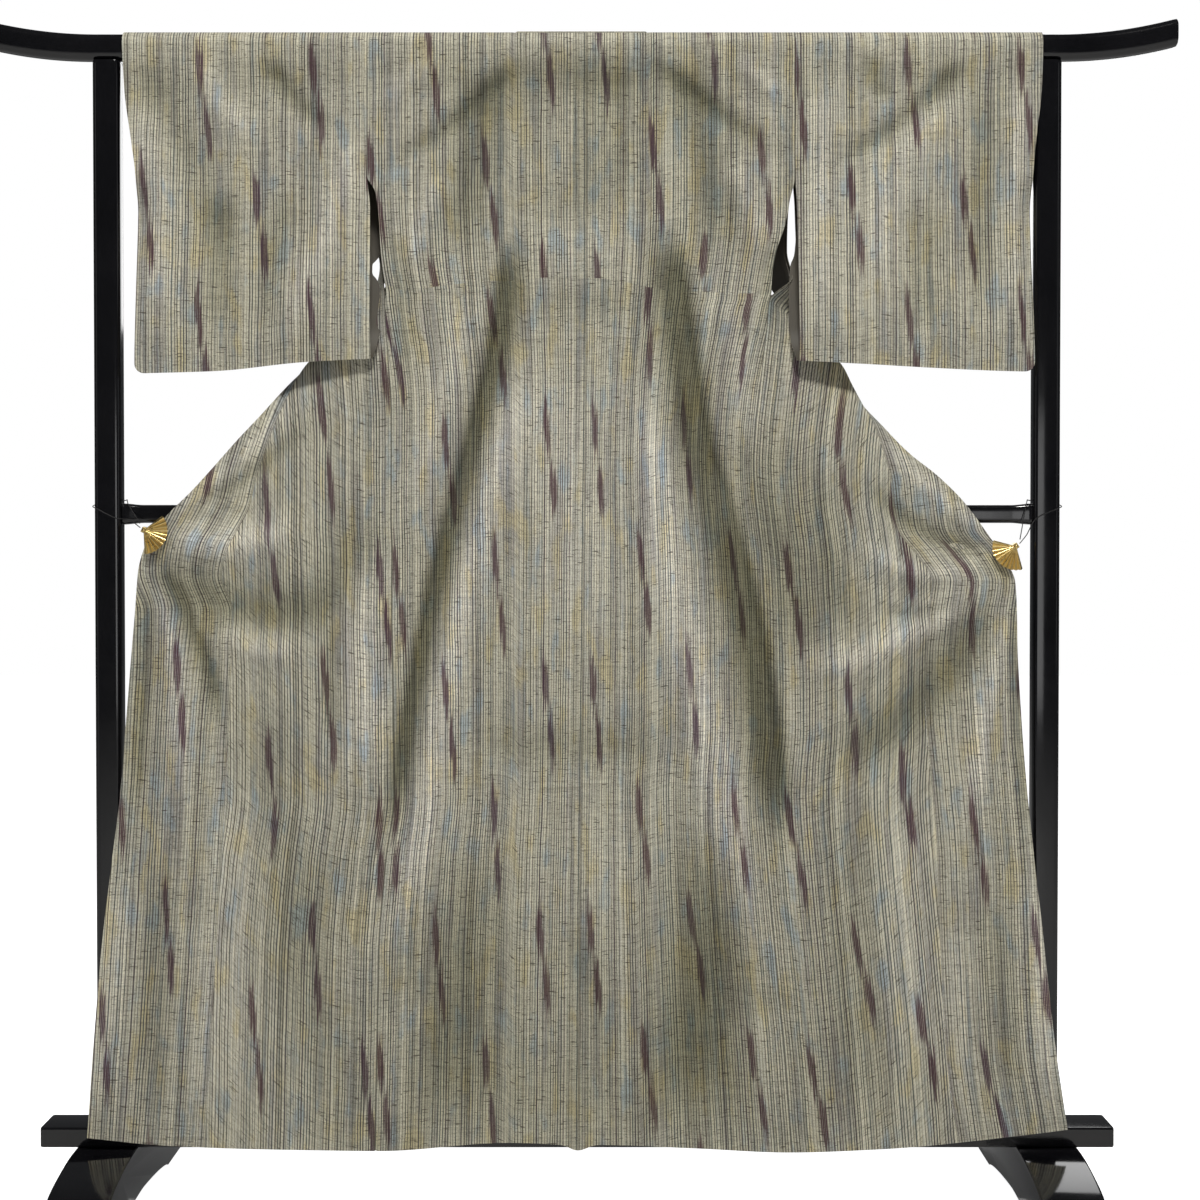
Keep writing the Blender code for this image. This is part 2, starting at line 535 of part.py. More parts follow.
def make_front(word, front, silk):
    """A front and its overlap panel, side by side, with the seam gap between them.

    Gives the front's points and normals, and its points along the side seam.
    """
    body, over, first = front_grids(front)
    depth, height = over_the_bar(0.0, 1)
    crown = np.zeros((3, body.shape[1], 3))
    crown[..., 0] = body[0, :, 0]
    crown[..., 1] = depth[:, None]
    crown[..., 2] = height[:, None]
    body = np.vstack((crown, body))
    first += 3
    whole = np.concatenate((body[first:], over[:, 1:]), axis=1)
    whole_normals = grid_normals(whole)
    seam = body.shape[1] - 1
    body_normals = grid_normals(body)
    body_normals[first + 1:, -1] = whole_normals[1:, seam]
    over_normals = whole_normals[:, seam:]
    sewn = body[:, 0, 2] < SEAM_TOP + 0.02
    sewn |= body[:, 0, 2] > ARMHOLE - 0.001
    body_normals[sewn, 0, 0] = 0.0
    body_normals = round_the_fold(body, body_normals)
    side_seam = body[body[:, 0, 2] < SEAM_TOP, 0]
    body = draw_in(body, GAP / 2, GAP / 2, GAP / 2)
    over = draw_in(over, GAP, 0.0)
    wall("front_" + word, body, body_normals, CLOTH, silk)
    wall("overlap_" + word, over, over_normals, CLOTH, silk)
    return body, body_normals, side_seam


def make_underarm_lining(word, body, normals, low, lining):
    """Strip of lining that shows in the slit under the arm, laid on the front's inside."""
    rows = [i for i in range(len(body)) if low < body[i, 0, 2] < ARMHOLE + 0.001]
    piece = body[rows[0]:rows[-1] + 1, :3]
    facing = normals[rows[0]:rows[-1] + 1, :3]
    # the inside of the front is the side that faces the bar at the top of the strip
    facing = facing if facing[0, 1, 1] < 0 else -facing
    piece = piece + facing * (CLOTH / 2 + LINING / 2 + 7 * GAP)
    piece = draw_in(piece, 0.001, 0.0)
    wall("underarm_lining_" + word, piece, facing, LINING, lining)


def sleeve_outline(table, foot, down, across):
    """x and z of a sleeve's points: down runs from the bar to the foot, across from cuff in."""
    top = CROWN - DRAPE
    level = top + (1.204 - top) * down
    outer = look_up([(z, a) for z, a, _ in table], level)
    inner = look_up([(z, b) for z, _, b in table], level)
    x = outer[:, None] + (inner - outer)[:, None] * across
    z = top + (look_up(foot, x) - top) * down[:, None]
    # the lower outer corner is cut round: points there move in along a quarter circle
    sign = 1.0 if outer[0] < 0 else -1.0
    over_x = SLEEVE_CORNER - sign * (x - outer[-1])
    over_z = SLEEVE_CORNER - (z - look_up(foot, x))
    inside = (over_x > 0) & (over_z > 0)
    reach = np.sqrt(np.maximum(over_x, 0) ** 2 + np.maximum(over_z, 0) ** 2)
    longest = np.maximum(np.maximum(over_x, over_z), 1e-9)
    pull = np.where(inside, longest / np.maximum(reach, 1e-9), 1.0)
    x = np.where(inside, x + sign * over_x * (1 - pull), x)
    z = np.where(inside, z + over_z * (1 - pull), z)
    return x, z


def sleeve_wall(table, foot, side_y, waves):
    """One wall of a sleeve, front (side_y -1) or rear (1), as a grid from the crown down."""
    down = np.array([0.0, 0.10, 0.25, 0.40, 0.52, 0.64, 0.76, 0.87, 0.94, 0.972, 1.0])
    across = np.array([0.0, 0.03, 0.09, 0.18, 0.34, 0.52, 0.70, 0.86, 1.0])
    x, z = sleeve_outline(table, foot, down, across)
    middle = look_up(SLEEVE_ROOM, z)
    room = look_up(SLEEVE_ROOM, z, 2)
    # below the cuff the walls close on each other towards the outer edge
    shut = np.clip((CUFF + 0.03 - z) / 0.06, 0, 1)
    from_edge = np.clip(across / 0.16, 0, 1)[None, :]
    open_part = 1 - shut * (1 - np.sin(from_edge * math.pi / 2))
    closed = CLOTH / 2 + GAP / 2
    room = closed + (room - closed) * open_part
    bottom = np.clip((1 - down) / 0.10, 0, 1)[:, None]
    room = closed + (room - closed) * np.sin(bottom * math.pi / 2)
    ripple = np.zeros_like(x)
    for x0, width, rise in waves:
        ripple += rise * np.exp(-((x - x0) / width) ** 2)
    ripple *= np.sin(math.pi * np.clip(down, 0, 1))[:, None]
    ripple *= np.sin(math.pi * across)[None, :] ** 0.5
    y = middle + side_y * room - ripple
    hanging = np.stack((x, y, z), axis=-1)
    depth, height = over_the_bar(0.0, side_y)
    crown = np.zeros((3, len(across), 3))
    crown[..., 0] = x[0]
    crown[..., 1] = depth[:, None]
    crown[..., 2] = height[:, None]
    return np.vstack((crown, hanging))


def make_sleeve(word, table, foot, waves, silk):
    """Two walls of a sleeve, joined at the fold over the bar, the foot and below the cuff."""
    for wall_word, side_y in (("back", -1), ("front", 1)):
        grid = sleeve_wall(table, foot, side_y, waves)
        normals = grid_normals(grid)
        normals[:, -1, 0] = 0.0
        normals[:, 0, 0] = 0.0
        # where the two walls are sewn together both face straight to the front or the rear
        facing = np.sign(normals[4, 4, 1])
        normals[-1] = (0.0, facing, 0.0)
        normals[grid[:, 0, 2] < CUFF - 0.03, 0] = (0.0, facing, 0.0)
        normals = round_the_fold(grid, normals)
        grid = draw_in(grid, 0.0, GAP / 2, GAP / 2)
        wall(f"sleeve_{word}_{wall_word}", grid, normals, CLOTH, silk)


def make_collar(silk):
    """The long band: from one clip, up behind, round the neck on the bar, and down again."""
    rows = list(reversed(LEFT_COLLAR)) + [COLLAR_MIDDLE] + list(RIGHT_COLLAR)
    rows = np.array(rows)
    sewn, free = rows[:, 0], rows[:, 1]
    across = np.linspace(0, 1, 6)[None, :, None]
    grid = sewn[:, None] * (1 - across) + free[:, None] * across
    # round the neck the band lies over the bar: its sewn four fifths follow the fold
    radius = DRAPE + 0.0014
    begin = np.arcsin(np.clip(sewn[:, 1] / radius, -1, 1))[:, None]
    angles = begin + (1.5 - begin) * np.linspace(0, 1, 5)
    over = grid.copy()
    over[:, :5, 1] = radius * np.sin(angles)
    over[:, :5, 2] = CROWN + 0.0006 - radius * (1 - np.cos(angles))
    at_neck = (sewn[:, 2] > 1.685)[:, None, None]
    grid = np.where(at_neck, over, grid)
    return wall("collar", grid, grid_normals(grid), COLLAR, silk)


# ---------------------------------------------------------------- the clips
def fan_plate(name, hub, first, last, depth, gold):
    """Pleated fan: a disc sector whose ribs rise and fall, from angle first to angle last."""
    steps = 2 * FAN_RIBS
    angles = np.radians(np.linspace(first, last, steps + 1))
    radii = np.array([0.004, 0.018, FAN_RADIUS])
    pleat = np.where(np.arange(steps + 1) % 2 == 0, 1.0, -1.0)
    grid = np.zeros((steps + 1, 3, 3))
    for k, radius in enumerate(radii):
        grid[:, k, 0] = hub[0] + radius * np.cos(angles)
        grid[:, k, 2] = hub[1] + radius * np.sin(angles)
        grid[:, k, 1] = depth + pleat * 0.0011 * radius / FAN_RADIUS
    normals = np.zeros_like(grid)
    normals[..., 1] = 1.0
    return wall(name, grid, normals, FAN_THICK, gold)


def make_jaw(name, hub, angle, front, rear, gold):
    """Rear half of a clip: a hub that passes beside the cloth and a plate behind it."""
    turn = math.radians(angle)
    along = np.array([math.cos(turn), math.sin(turn)])
    beside = np.array([-along[1], along[0]])
    # a step in side view: hub across the full depth, then the thin plate behind
    profile = [(-0.004, front), (0.0032, front), (0.0032, rear), (0.026, rear + 0.0008),
               (0.026, rear + 0.0024), (-0.004, rear + 0.0024)]
    sections = []
    for offset in (-0.004, 0.004):
        sections.append([(hub[0] + along[0] * a + beside[0] * offset, y,
                          hub[1] + along[1] * a + beside[1] * offset) for a, y in profile])
    return loft(name, sections, gold, smooth=False)


def make_cord(name, points, cord_material):
    """Thin cord: a filled tube on a smooth curve through its route's points."""
    route = smooth_through(np.array(points), np.linspace(0, len(points) - 1, 4 * len(points)))
    curve = bpy.data.curves.new(name, "CURVE")
    curve.dimensions = "3D"
    curve.bevel_depth = CORD / 2
    curve.bevel_resolution = 2
    curve.use_fill_caps = True
    curve.render_resolution_u = 0
    spline = curve.splines.new("POLY")
    spline.points.add(len(route) - 1)
    for point, place in zip(spline.points, route):
        point.co = (*place, 1.0)
    curve.materials.append(cord_material)
    thing = bpy.data.objects.new(name, curve)
    bpy.context.scene.collection.objects.link(thing)
    return thing


LEFT_HUB = (-0.6215, 0.979)
RIGHT_HUB = (0.6300, 0.956)
CLIP_FRONT = -0.0420      # depth of the fans, in front of the cloth
CLIP_REAR = -0.0215       # depth of the jaws, behind the collar


def make_clips(gold, black):
    """Two fan clips, each tied round a post and the middle rail by a thin cord."""
    clips = (
        ("left", LEFT_HUB, 38.0, -88.0, -25.0, -1),
        ("right", RIGHT_HUB, 165.0, 286.0, 215.0, 1),
    )
    face = POST_DEPTH / 2 + 0.002
    inner = POST_X - POST_WIDTH / 2 - 0.003
    outer = POST_X + POST_WIDTH / 2 + 0.002
    for word, hub, first, last, jaw_turn, side in clips:
        fan_plate("fan_" + word, hub, first, last, CLIP_FRONT, gold)
        make_jaw("clip_" + word, hub, jaw_turn, CLIP_FRONT + 0.0028, CLIP_REAR, gold)
        ring = hub[0] + side * 0.0060
        high = hub[1] + 0.004
        route = (
            (ring, -0.036, high),
            (side * (inner - 0.010), -0.031, high + 0.012),
            (side * (inner + 0.006), -face - 0.002, 0.996),
            (side * (outer - 0.008), -face - 0.001, 1.010),
            (side * outer, -face + 0.006, 1.014),
            (side * outer, face - 0.006, 1.018),
            (side * (outer - 0.006), face, 1.0205),
            (side * (inner + 0.008), face, 1.0225),
            (side * inner, face - 0.006, 1.0235),
            (side * (inner - 0.004), -0.006, 1.0235),
            (side * (inner - 0.007), -0.0145, 1.018),
            (ring + side * 0.001, -0.033, high + 0.006),
        )
        make_cord("clip_cord_" + word, route, black)


# ---------------------------------------------------------------- everything together
def main():
    clear_scene()
    silk = make_material("silk_cloth", (0.36, 0.34, 0.27), 0.75)
    lining = make_material("silk_lining", (0.09, 0.075, 0.045), 0.6)
    lacquer = make_material("black_lacquer", (0.004, 0.004, 0.005), 0.12)
    gold = make_material("gilt_metal", (0.83, 0.56, 0.13), 0.28, 1.0)
    black = make_material("black_cord", (0.01, 0.01, 0.01), 0.7)

    make_top_bar(lacquer)
    make_mid_rail(lacquer)
    make_lower_beam(lacquer)
    for word, side in (("left", -1), ("right", 1)):
        make_post("post_" + word, side, lacquer)
        make_foot("foot_" + word, side, lacquer)

    sides = (
        ("left", LEFT_FRONT, LEFT_ARMSIDE, NECK_LEFT, SEAM_TOP + 0.06),
        ("right", RIGHT_FRONT, RIGHT_ARMSIDE, NECK_RIGHT, SEAM_TOP + 0.03),
    )
    for word, front, armside, neck, low in sides:
        body, normals, side_seam = make_front(word, front, silk)
        make_back("back_" + word, armside, neck, side_seam, silk)
        make_underarm_lining(word, body, normals, low, lining)
    make_sleeve("left", LEFT_SLEEVE, LEFT_SLEEVE_FOOT,
                ((-0.46, 0.05, 0.006), (-0.37, 0.03, -0.004)), silk)
    make_sleeve("right", RIGHT_SLEEVE, RIGHT_SLEEVE_FOOT,
                ((0.50, 0.05, 0.006), (0.40, 0.03, -0.004)), silk)
    make_collar(silk)
    make_clips(gold, black)


main()
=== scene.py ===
# %% [markdown]
# # A silk kimono spread on a lacquered stand
#
# The kimono hangs by its sleeves from the bar of a black lacquered stand, with its back
# towards the camera.  Two gilt fan clips pull the fronts out sideways.  The imported CAD
# model gives every place and size; this lesson makes the fine surfaces around it: the
# cloth as thin shells with soft folds, the weave as shader nodes, the lacquer and the gilt.
#
# We begin by loading the frame.

# %% Load the frame
import json
import math

import bpy
import numpy as np
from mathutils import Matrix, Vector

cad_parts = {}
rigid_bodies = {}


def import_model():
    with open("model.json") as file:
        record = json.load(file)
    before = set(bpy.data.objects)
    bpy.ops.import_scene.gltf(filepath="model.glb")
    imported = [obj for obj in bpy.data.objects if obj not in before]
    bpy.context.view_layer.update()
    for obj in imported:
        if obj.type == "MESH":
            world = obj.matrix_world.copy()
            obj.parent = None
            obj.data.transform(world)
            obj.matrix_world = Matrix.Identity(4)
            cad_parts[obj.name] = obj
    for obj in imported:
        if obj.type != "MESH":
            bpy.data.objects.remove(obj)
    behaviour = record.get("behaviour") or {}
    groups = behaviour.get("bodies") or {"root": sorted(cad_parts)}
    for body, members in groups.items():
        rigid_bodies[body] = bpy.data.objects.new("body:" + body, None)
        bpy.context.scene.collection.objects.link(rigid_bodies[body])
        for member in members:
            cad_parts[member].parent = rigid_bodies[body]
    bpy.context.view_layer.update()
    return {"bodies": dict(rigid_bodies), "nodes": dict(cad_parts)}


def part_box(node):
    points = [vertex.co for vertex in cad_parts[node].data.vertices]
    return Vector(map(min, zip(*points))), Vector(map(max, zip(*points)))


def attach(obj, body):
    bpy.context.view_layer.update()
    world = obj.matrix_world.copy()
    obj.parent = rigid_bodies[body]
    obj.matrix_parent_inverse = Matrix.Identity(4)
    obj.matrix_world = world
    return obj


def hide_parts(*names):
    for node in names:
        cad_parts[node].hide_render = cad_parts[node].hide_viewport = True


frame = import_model()
print("CAD nodes:", len(frame["nodes"]))

# %% [markdown]
# ## The camera
#
# The camera stands straight ahead of the stand, at about half its height, with a
# lens long enough to keep the sides upright.  The camera looks along +Y and tips down a
# little, so that the feet just leave the picture.

# %% Camera
camera_data = bpy.data.cameras.new("studio_camera")
camera_data.lens = 69.0
camera_data.sensor_width = 36.0
camera = bpy.data.objects.new("studio_camera", camera_data)
camera.location = (0.033, -3.342, 0.951)
camera.rotation_euler = (math.radians(90.0 - 1.25), 0.0, 0.0)
bpy.context.scene.collection.objects.link(camera)
bpy.context.scene.camera = camera
print("camera at", tuple(round(c, 3) for c in camera.location))

# %% [markdown]
# ## Dimensions
#
# The frame says where the stand's pieces are, so their sizes are read from it.  The cloth
# needs more: every panel is drawn from a short table with the places of its seams from the
# shoulder to the hem, in metres, the same tables that shape the solid model.

# %% Driving dimensions
bar_low, bar_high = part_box("top_bar")
BAR_TOP = 1.695                      # top of the straight part of the bar
SHELL = 0.0009                       # thickness of the cloth shells
COLLAR_SHELL = 0.0022                # the folded collar band is thicker
SEAM_GAP = 0.00012                   # room between two pieces that meet
DRAPE = 0.0196                       # radius of the cloth's fold over the bar
CROWN = BAR_TOP + 0.0030             # height of that fold
HANG_TOP = CROWN - DRAPE             # where the cloth leaves the bar
HANG_FALL = 0.036                    # how far the back has come forward at the hem
HEM = 0.095
CUFF = 1.467                         # a sleeve's outer edge is sewn shut below this height
ARMHOLE = 1.490                      # a sleeve hangs free of the body below this height
SEAM_TOP = 1.312                     # top of the side seams
NECK_LEFT = -0.102
NECK_RIGHT = 0.113
NECK_DROP = 0.008                    # how far in front of the fold the neckline lies
print("bar from", tuple(round(c, 3) for c in bar_low), "to", tuple(round(c, 3) for c in bar_high))

# %% Tables of the fronts: side seam, join of the overlap panel, free edge of the overlap panel
LEFT_FRONT = (
    ((-0.3025, DRAPE, HANG_TOP), (-0.102, DRAPE, HANG_TOP), None),
    ((-0.3025, 0.0205, 1.630), (-0.118, 0.026, 1.632), None),
    ((-0.3025, 0.0212, 1.565), (-0.150, 0.040, 1.570), None),
    ((-0.3018, 0.0215, 1.490), (-0.190, 0.056, 1.500), None),
    ((-0.2955, 0.022, 1.440), (-0.232, 0.070, 1.432), None),
    ((-0.290, 0.016, 1.385), (-0.276, 0.076, 1.362), None),
    ((-0.281, -0.006, 1.345), (-0.318, 0.066, 1.300), (-0.316, 0.074, 1.303)),
    ((-0.276, -0.0255, 1.310), (-0.352, 0.045, 1.258), (-0.348, 0.057, 1.262)),
    ((-0.275, -0.0275, 1.280), (-0.391, 0.004, 1.222), (-0.389, 0.034, 1.224)),
    ((-0.272, -0.0290, 1.240), (-0.416, -0.018, 1.175), (-0.423, -0.006, 1.184)),
    ((-0.269, -0.0300, 1.193), (-0.435, -0.027, 1.130), (-0.454, -0.022, 1.147)),
    ((-0.267, -0.0310, 1.143), (-0.449, -0.030, 1.093), (-0.489, -0.027, 1.109)),
    ((-0.267, -0.0320, 1.094), (-0.461, -0.031, 1.058), (-0.523, -0.029, 1.070)),
    ((-0.267, -0.0330, 1.043), (-0.471, -0.032, 1.013), (-0.557, -0.031, 1.032)),
    ((-0.267, -0.0340, 0.993), (-0.487, -0.033, 0.980), (-0.590, -0.032, 1.000)),
    ((-0.266, -0.0350, 0.947), (-0.502, -0.034, 0.948), (-0.614, -0.033, 0.972)),
    ((-0.266, -0.0360, 0.910), (-0.511, -0.036, 0.912), (-0.631, -0.035, 0.922)),
    ((-0.266, -0.0370, 0.860), (-0.495, -0.037, 0.860), (-0.636, -0.036, 0.862)),
    ((-0.265, -0.0380, 0.800), (-0.496, -0.038, 0.800), (-0.641, -0.038, 0.800)),
    ((-0.264, -0.0400, 0.700), (-0.501, -0.040, 0.700), (-0.649, -0.040, 0.700)),
    ((-0.264, -0.0420, 0.600), (-0.506, -0.042, 0.600), (-0.657, -0.042, 0.600)),
    ((-0.275, -0.0450, 0.500), (-0.511, -0.045, 0.500), (-0.669, -0.045, 0.500)),
    ((-0.285, -0.0480, 0.370), (-0.518, -0.048, 0.372), (-0.683, -0.048, 0.374)),
    ((-0.288, -0.0510, 0.230), (-0.526, -0.051, 0.235), (-0.694, -0.051, 0.240)),
    ((-0.291, -0.0545, 0.087), (-0.535, -0.0545, 0.101), (-0.704, -0.0545, 0.106)),
)
RIGHT_FRONT = (
    ((0.3135, DRAPE, HANG_TOP), (0.113, DRAPE, HANG_TOP), None),
    ((0.3135, 0.0205, 1.630), (0.128, 0.026, 1.632), None),
    ((0.3135, 0.0212, 1.565), (0.160, 0.040, 1.570), None),
    ((0.3128, 0.0215, 1.490), (0.198, 0.056, 1.500), None),
    ((0.3070, 0.022, 1.440), (0.236, 0.070, 1.432), None),
    ((0.3050, 0.016, 1.385), (0.272, 0.076, 1.362), None),
    ((0.3110, -0.006, 1.345), (0.312, 0.066, 1.300), (0.310, 0.074, 1.303)),
    ((0.276, -0.0255, 1.310), (0.345, 0.045, 1.262), (0.341, 0.057, 1.266)),
    ((0.272, -0.0280, 1.268), (0.385, 0.002, 1.217), (0.383, 0.030, 1.219)),
    ((0.268, -0.0290, 1.235), (0.397, -0.010, 1.190), (0.397, 0.016, 1.191)),
    ((0.264, -0.0300, 1.200), (0.410, -0.020, 1.163), (0.411, 0.004, 1.165)),
    ((0.260, -0.0310, 1.165), (0.426, -0.028, 1.133), (0.443, -0.022, 1.126)),
    ((0.256, -0.0315, 1.125), (0.440, -0.030, 1.093), (0.479, -0.027, 1.089)),
    ((0.254, -0.0320, 1.080), (0.450, -0.031, 1.055), (0.518, -0.029, 1.058)),
    ((0.256, -0.0330, 1.035), (0.455, -0.032, 1.015), (0.554, -0.031, 1.022)),
    ((0.261, -0.0340, 0.988), (0.462, -0.033, 0.980), (0.583, -0.032, 0.983)),
    ((0.266, -0.0350, 0.939), (0.490, -0.034, 0.940), (0.608, -0.034, 0.948)),
    ((0.268, -0.0360, 0.900), (0.509, -0.036, 0.905), (0.630, -0.035, 0.905)),
    ((0.270, -0.0370, 0.855), (0.503, -0.037, 0.855), (0.633, -0.037, 0.855)),
    ((0.271, -0.0380, 0.800), (0.501, -0.038, 0.800), (0.635, -0.038, 0.800)),
    ((0.272, -0.0400, 0.700), (0.503, -0.040, 0.700), (0.641, -0.040, 0.700)),
    ((0.267, -0.0420, 0.600), (0.511, -0.042, 0.600), (0.649, -0.042, 0.600)),
    ((0.273, -0.0450, 0.500), (0.518, -0.045, 0.500), (0.658, -0.045, 0.500)),
    ((0.285, -0.0480, 0.370), (0.522, -0.048, 0.372), (0.671, -0.048, 0.374)),
    ((0.298, -0.0510, 0.230), (0.529, -0.051, 0.236), (0.686, -0.051, 0.240)),
    ((0.309, -0.0545, 0.084), (0.547, -0.0545, 0.099), (0.705, -0.0545, 0.118)),
)
FIRST_EDGE = 6                       # the first level that has an overlap panel
print("levels of the fronts:", len(LEFT_FRONT), len(RIGHT_FRONT))

# %% Outlines of the back and the sleeves: height, then x
LEFT_ARMSIDE = ((CROWN, -0.3025), (ARMHOLE, -0.3025), (1.468, -0.291), (1.439, -0.286),
                (1.367, -0.281), (SEAM_TOP + 0.012, -0.2745))
RIGHT_ARMSIDE = ((CROWN, 0.3135), (ARMHOLE, 0.3135), (1.454, 0.306), (1.418, 0.299),
                 (1.382, 0.287), (1.339, 0.2805), (SEAM_TOP + 0.012, 0.2800))
CENTRE_SEAM = ((1.697, 0.013), (1.340, 0.013), (0.880, 0.009), (0.450, 0.004), (0.080, 0.001))
HEM_LINE = ((-0.704, 0.106), (-0.593, 0.095), (-0.400, 0.088), (-0.284, 0.086),
            (-0.101, 0.098), (-0.023, 0.095), (0.001, 0.087), (0.030, 0.095), (0.170, 0.090),
            (0.305, 0.084), (0.436, 0.089), (0.609, 0.106), (0.705, 0.118))
LEFT_SLEEVE = ((CROWN, -0.655, -0.3025), (1.612, -0.651, -0.3025), (1.540, -0.641, -0.3025),
               (ARMHOLE, -0.635, -0.3025), (1.430, -0.634, -0.2975), (1.221, -0.634, -0.2960))
RIGHT_SLEEVE = ((CROWN, 0.671, 0.3135), (1.612, 0.668, 0.3135), (1.540, 0.660, 0.3135),
                (ARMHOLE, 0.656, 0.3135), (1.440, 0.654, 0.3160), (1.221, 0.656, 0.3190))
LEFT_SLEEVE_FOOT = ((-0.655, 1.203), (-0.620, 1.204), (-0.520, 1.207), (-0.391, 1.220),
                    (-0.295, 1.225))
RIGHT_SLEEVE_FOOT = ((0.321, 1.222), (0.421, 1.217), (0.507, 1.212), (0.620, 1.207),
                     (0.671, 1.206))
SLEEVE_CORNER = 0.014
# A sleeve's section: height, middle depth, half the room between its two walls
SLEEVE_ROOM = ((HANG_TOP, 0.0, DRAPE), (1.630, 0.0, 0.0205), (1.490, 0.0, 0.0215),
               (1.440, -0.0040, 0.0205), (1.380, -0.0130, 0.0175), (1.320, -0.0250, 0.0135),
               (1.270, -0.0340, 0.0090), (1.235, -0.0390, 0.0042), (1.200, -0.0410, 0.0011))
print("sleeve width:", round(LEFT_SLEEVE[3][2] - LEFT_SLEEVE[3][1], 3), "m")

# %% Table of the collar band: sewn edge, free edge, from the middle of the neck to a clip
LEFT_COLLAR = (
    ((-0.050, -0.005, 1.6965), (-0.035, 0.0205, 1.657)),
    ((-0.084, -0.005, 1.6965), (-0.052, 0.0215, 1.651)),
    ((-0.090, 0.005, 1.6970), (-0.056, 0.0225, 1.647)),
    ((-0.094, 0.0150, 1.6915), (-0.061, 0.0240, 1.641)),
    ((-0.0965, 0.0225, 1.672), (-0.067, 0.0265, 1.631)),
    ((-0.114, 0.029, 1.631), (-0.077, 0.036, 1.600)),
    ((-0.147, 0.043, 1.568), (-0.106, 0.050, 1.541)),
    ((-0.187, 0.060, 1.498), (-0.147, 0.072, 1.470)),
    ((-0.230, 0.075, 1.429), (-0.192, 0.090, 1.400)),
    ((-0.274, 0.082, 1.359), (-0.238, 0.099, 1.328)),
    ((-0.314, 0.081, 1.299), (-0.278, 0.097, 1.266)),
    ((-0.347, 0.064, 1.259), (-0.312, 0.080, 1.226)),
    ((-0.386, 0.041, 1.220), (-0.352, 0.056, 1.186)),
    ((-0.418, 0.004, 1.180), (-0.386, 0.020, 1.143)),
    ((-0.450, -0.015, 1.144), (-0.416, -0.006, 1.108)),
    ((-0.486, -0.0220, 1.106), (-0.450, -0.014, 1.071)),
    ((-0.520, -0.0245, 1.067), (-0.484, -0.018, 1.032)),
    ((-0.554, -0.0260, 1.029), (-0.518, -0.021, 0.993)),
    ((-0.586, -0.0270, 0.997), (-0.550, -0.023, 0.961)),
    ((-0.606, -0.0280, 0.977), (-0.572, -0.024, 0.940)),
)
RIGHT_COLLAR = (
    ((0.060, -0.005, 1.6965), (0.046, 0.0205, 1.657)),
    ((0.096, -0.005, 1.6965), (0.064, 0.0215, 1.651)),
    ((0.102, 0.005, 1.6970), (0.068, 0.0225, 1.647)),
    ((0.106, 0.0150, 1.6915), (0.073, 0.0240, 1.641)),
    ((0.1090, 0.0225, 1.672), (0.080, 0.0265, 1.631)),
    ((0.124, 0.029, 1.631), (0.088, 0.036, 1.600)),
    ((0.157, 0.043, 1.568), (0.117, 0.050, 1.541)),
    ((0.195, 0.060, 1.498), (0.156, 0.072, 1.470)),
    ((0.234, 0.075, 1.429), (0.197, 0.090, 1.400)),
    ((0.270, 0.082, 1.359), (0.235, 0.099, 1.328)),
    ((0.308, 0.081, 1.299), (0.273, 0.097, 1.266)),
    ((0.340, 0.064, 1.263), (0.305, 0.080, 1.230)),
    ((0.380, 0.037, 1.215), (0.346, 0.052, 1.181)),
    ((0.394, 0.023, 1.187), (0.362, 0.038, 1.151)),
    ((0.408, 0.011, 1.161), (0.377, 0.026, 1.124)),
    ((0.440, -0.015, 1.122), (0.407, -0.005, 1.086)),
    ((0.476, -0.0210, 1.085), (0.441, -0.012, 1.050)),
    ((0.515, -0.0235, 1.054), (0.480, -0.017, 1.018)),
    ((0.551, -0.0255, 1.018), (0.514, -0.020, 0.984)),
    ((0.579, -0.0265, 0.979), (0.539, -0.023, 0.951)),
    ((0.600, -0.0275, 0.952), (0.560, -0.024, 0.927)),
)
COLLAR_MIDDLE = ((0.006, -0.005, 1.6965), (0.006, 0.0205, 1.660))
print("stations of the collar:", len(LEFT_COLLAR) + len(RIGHT_COLLAR) + 1)
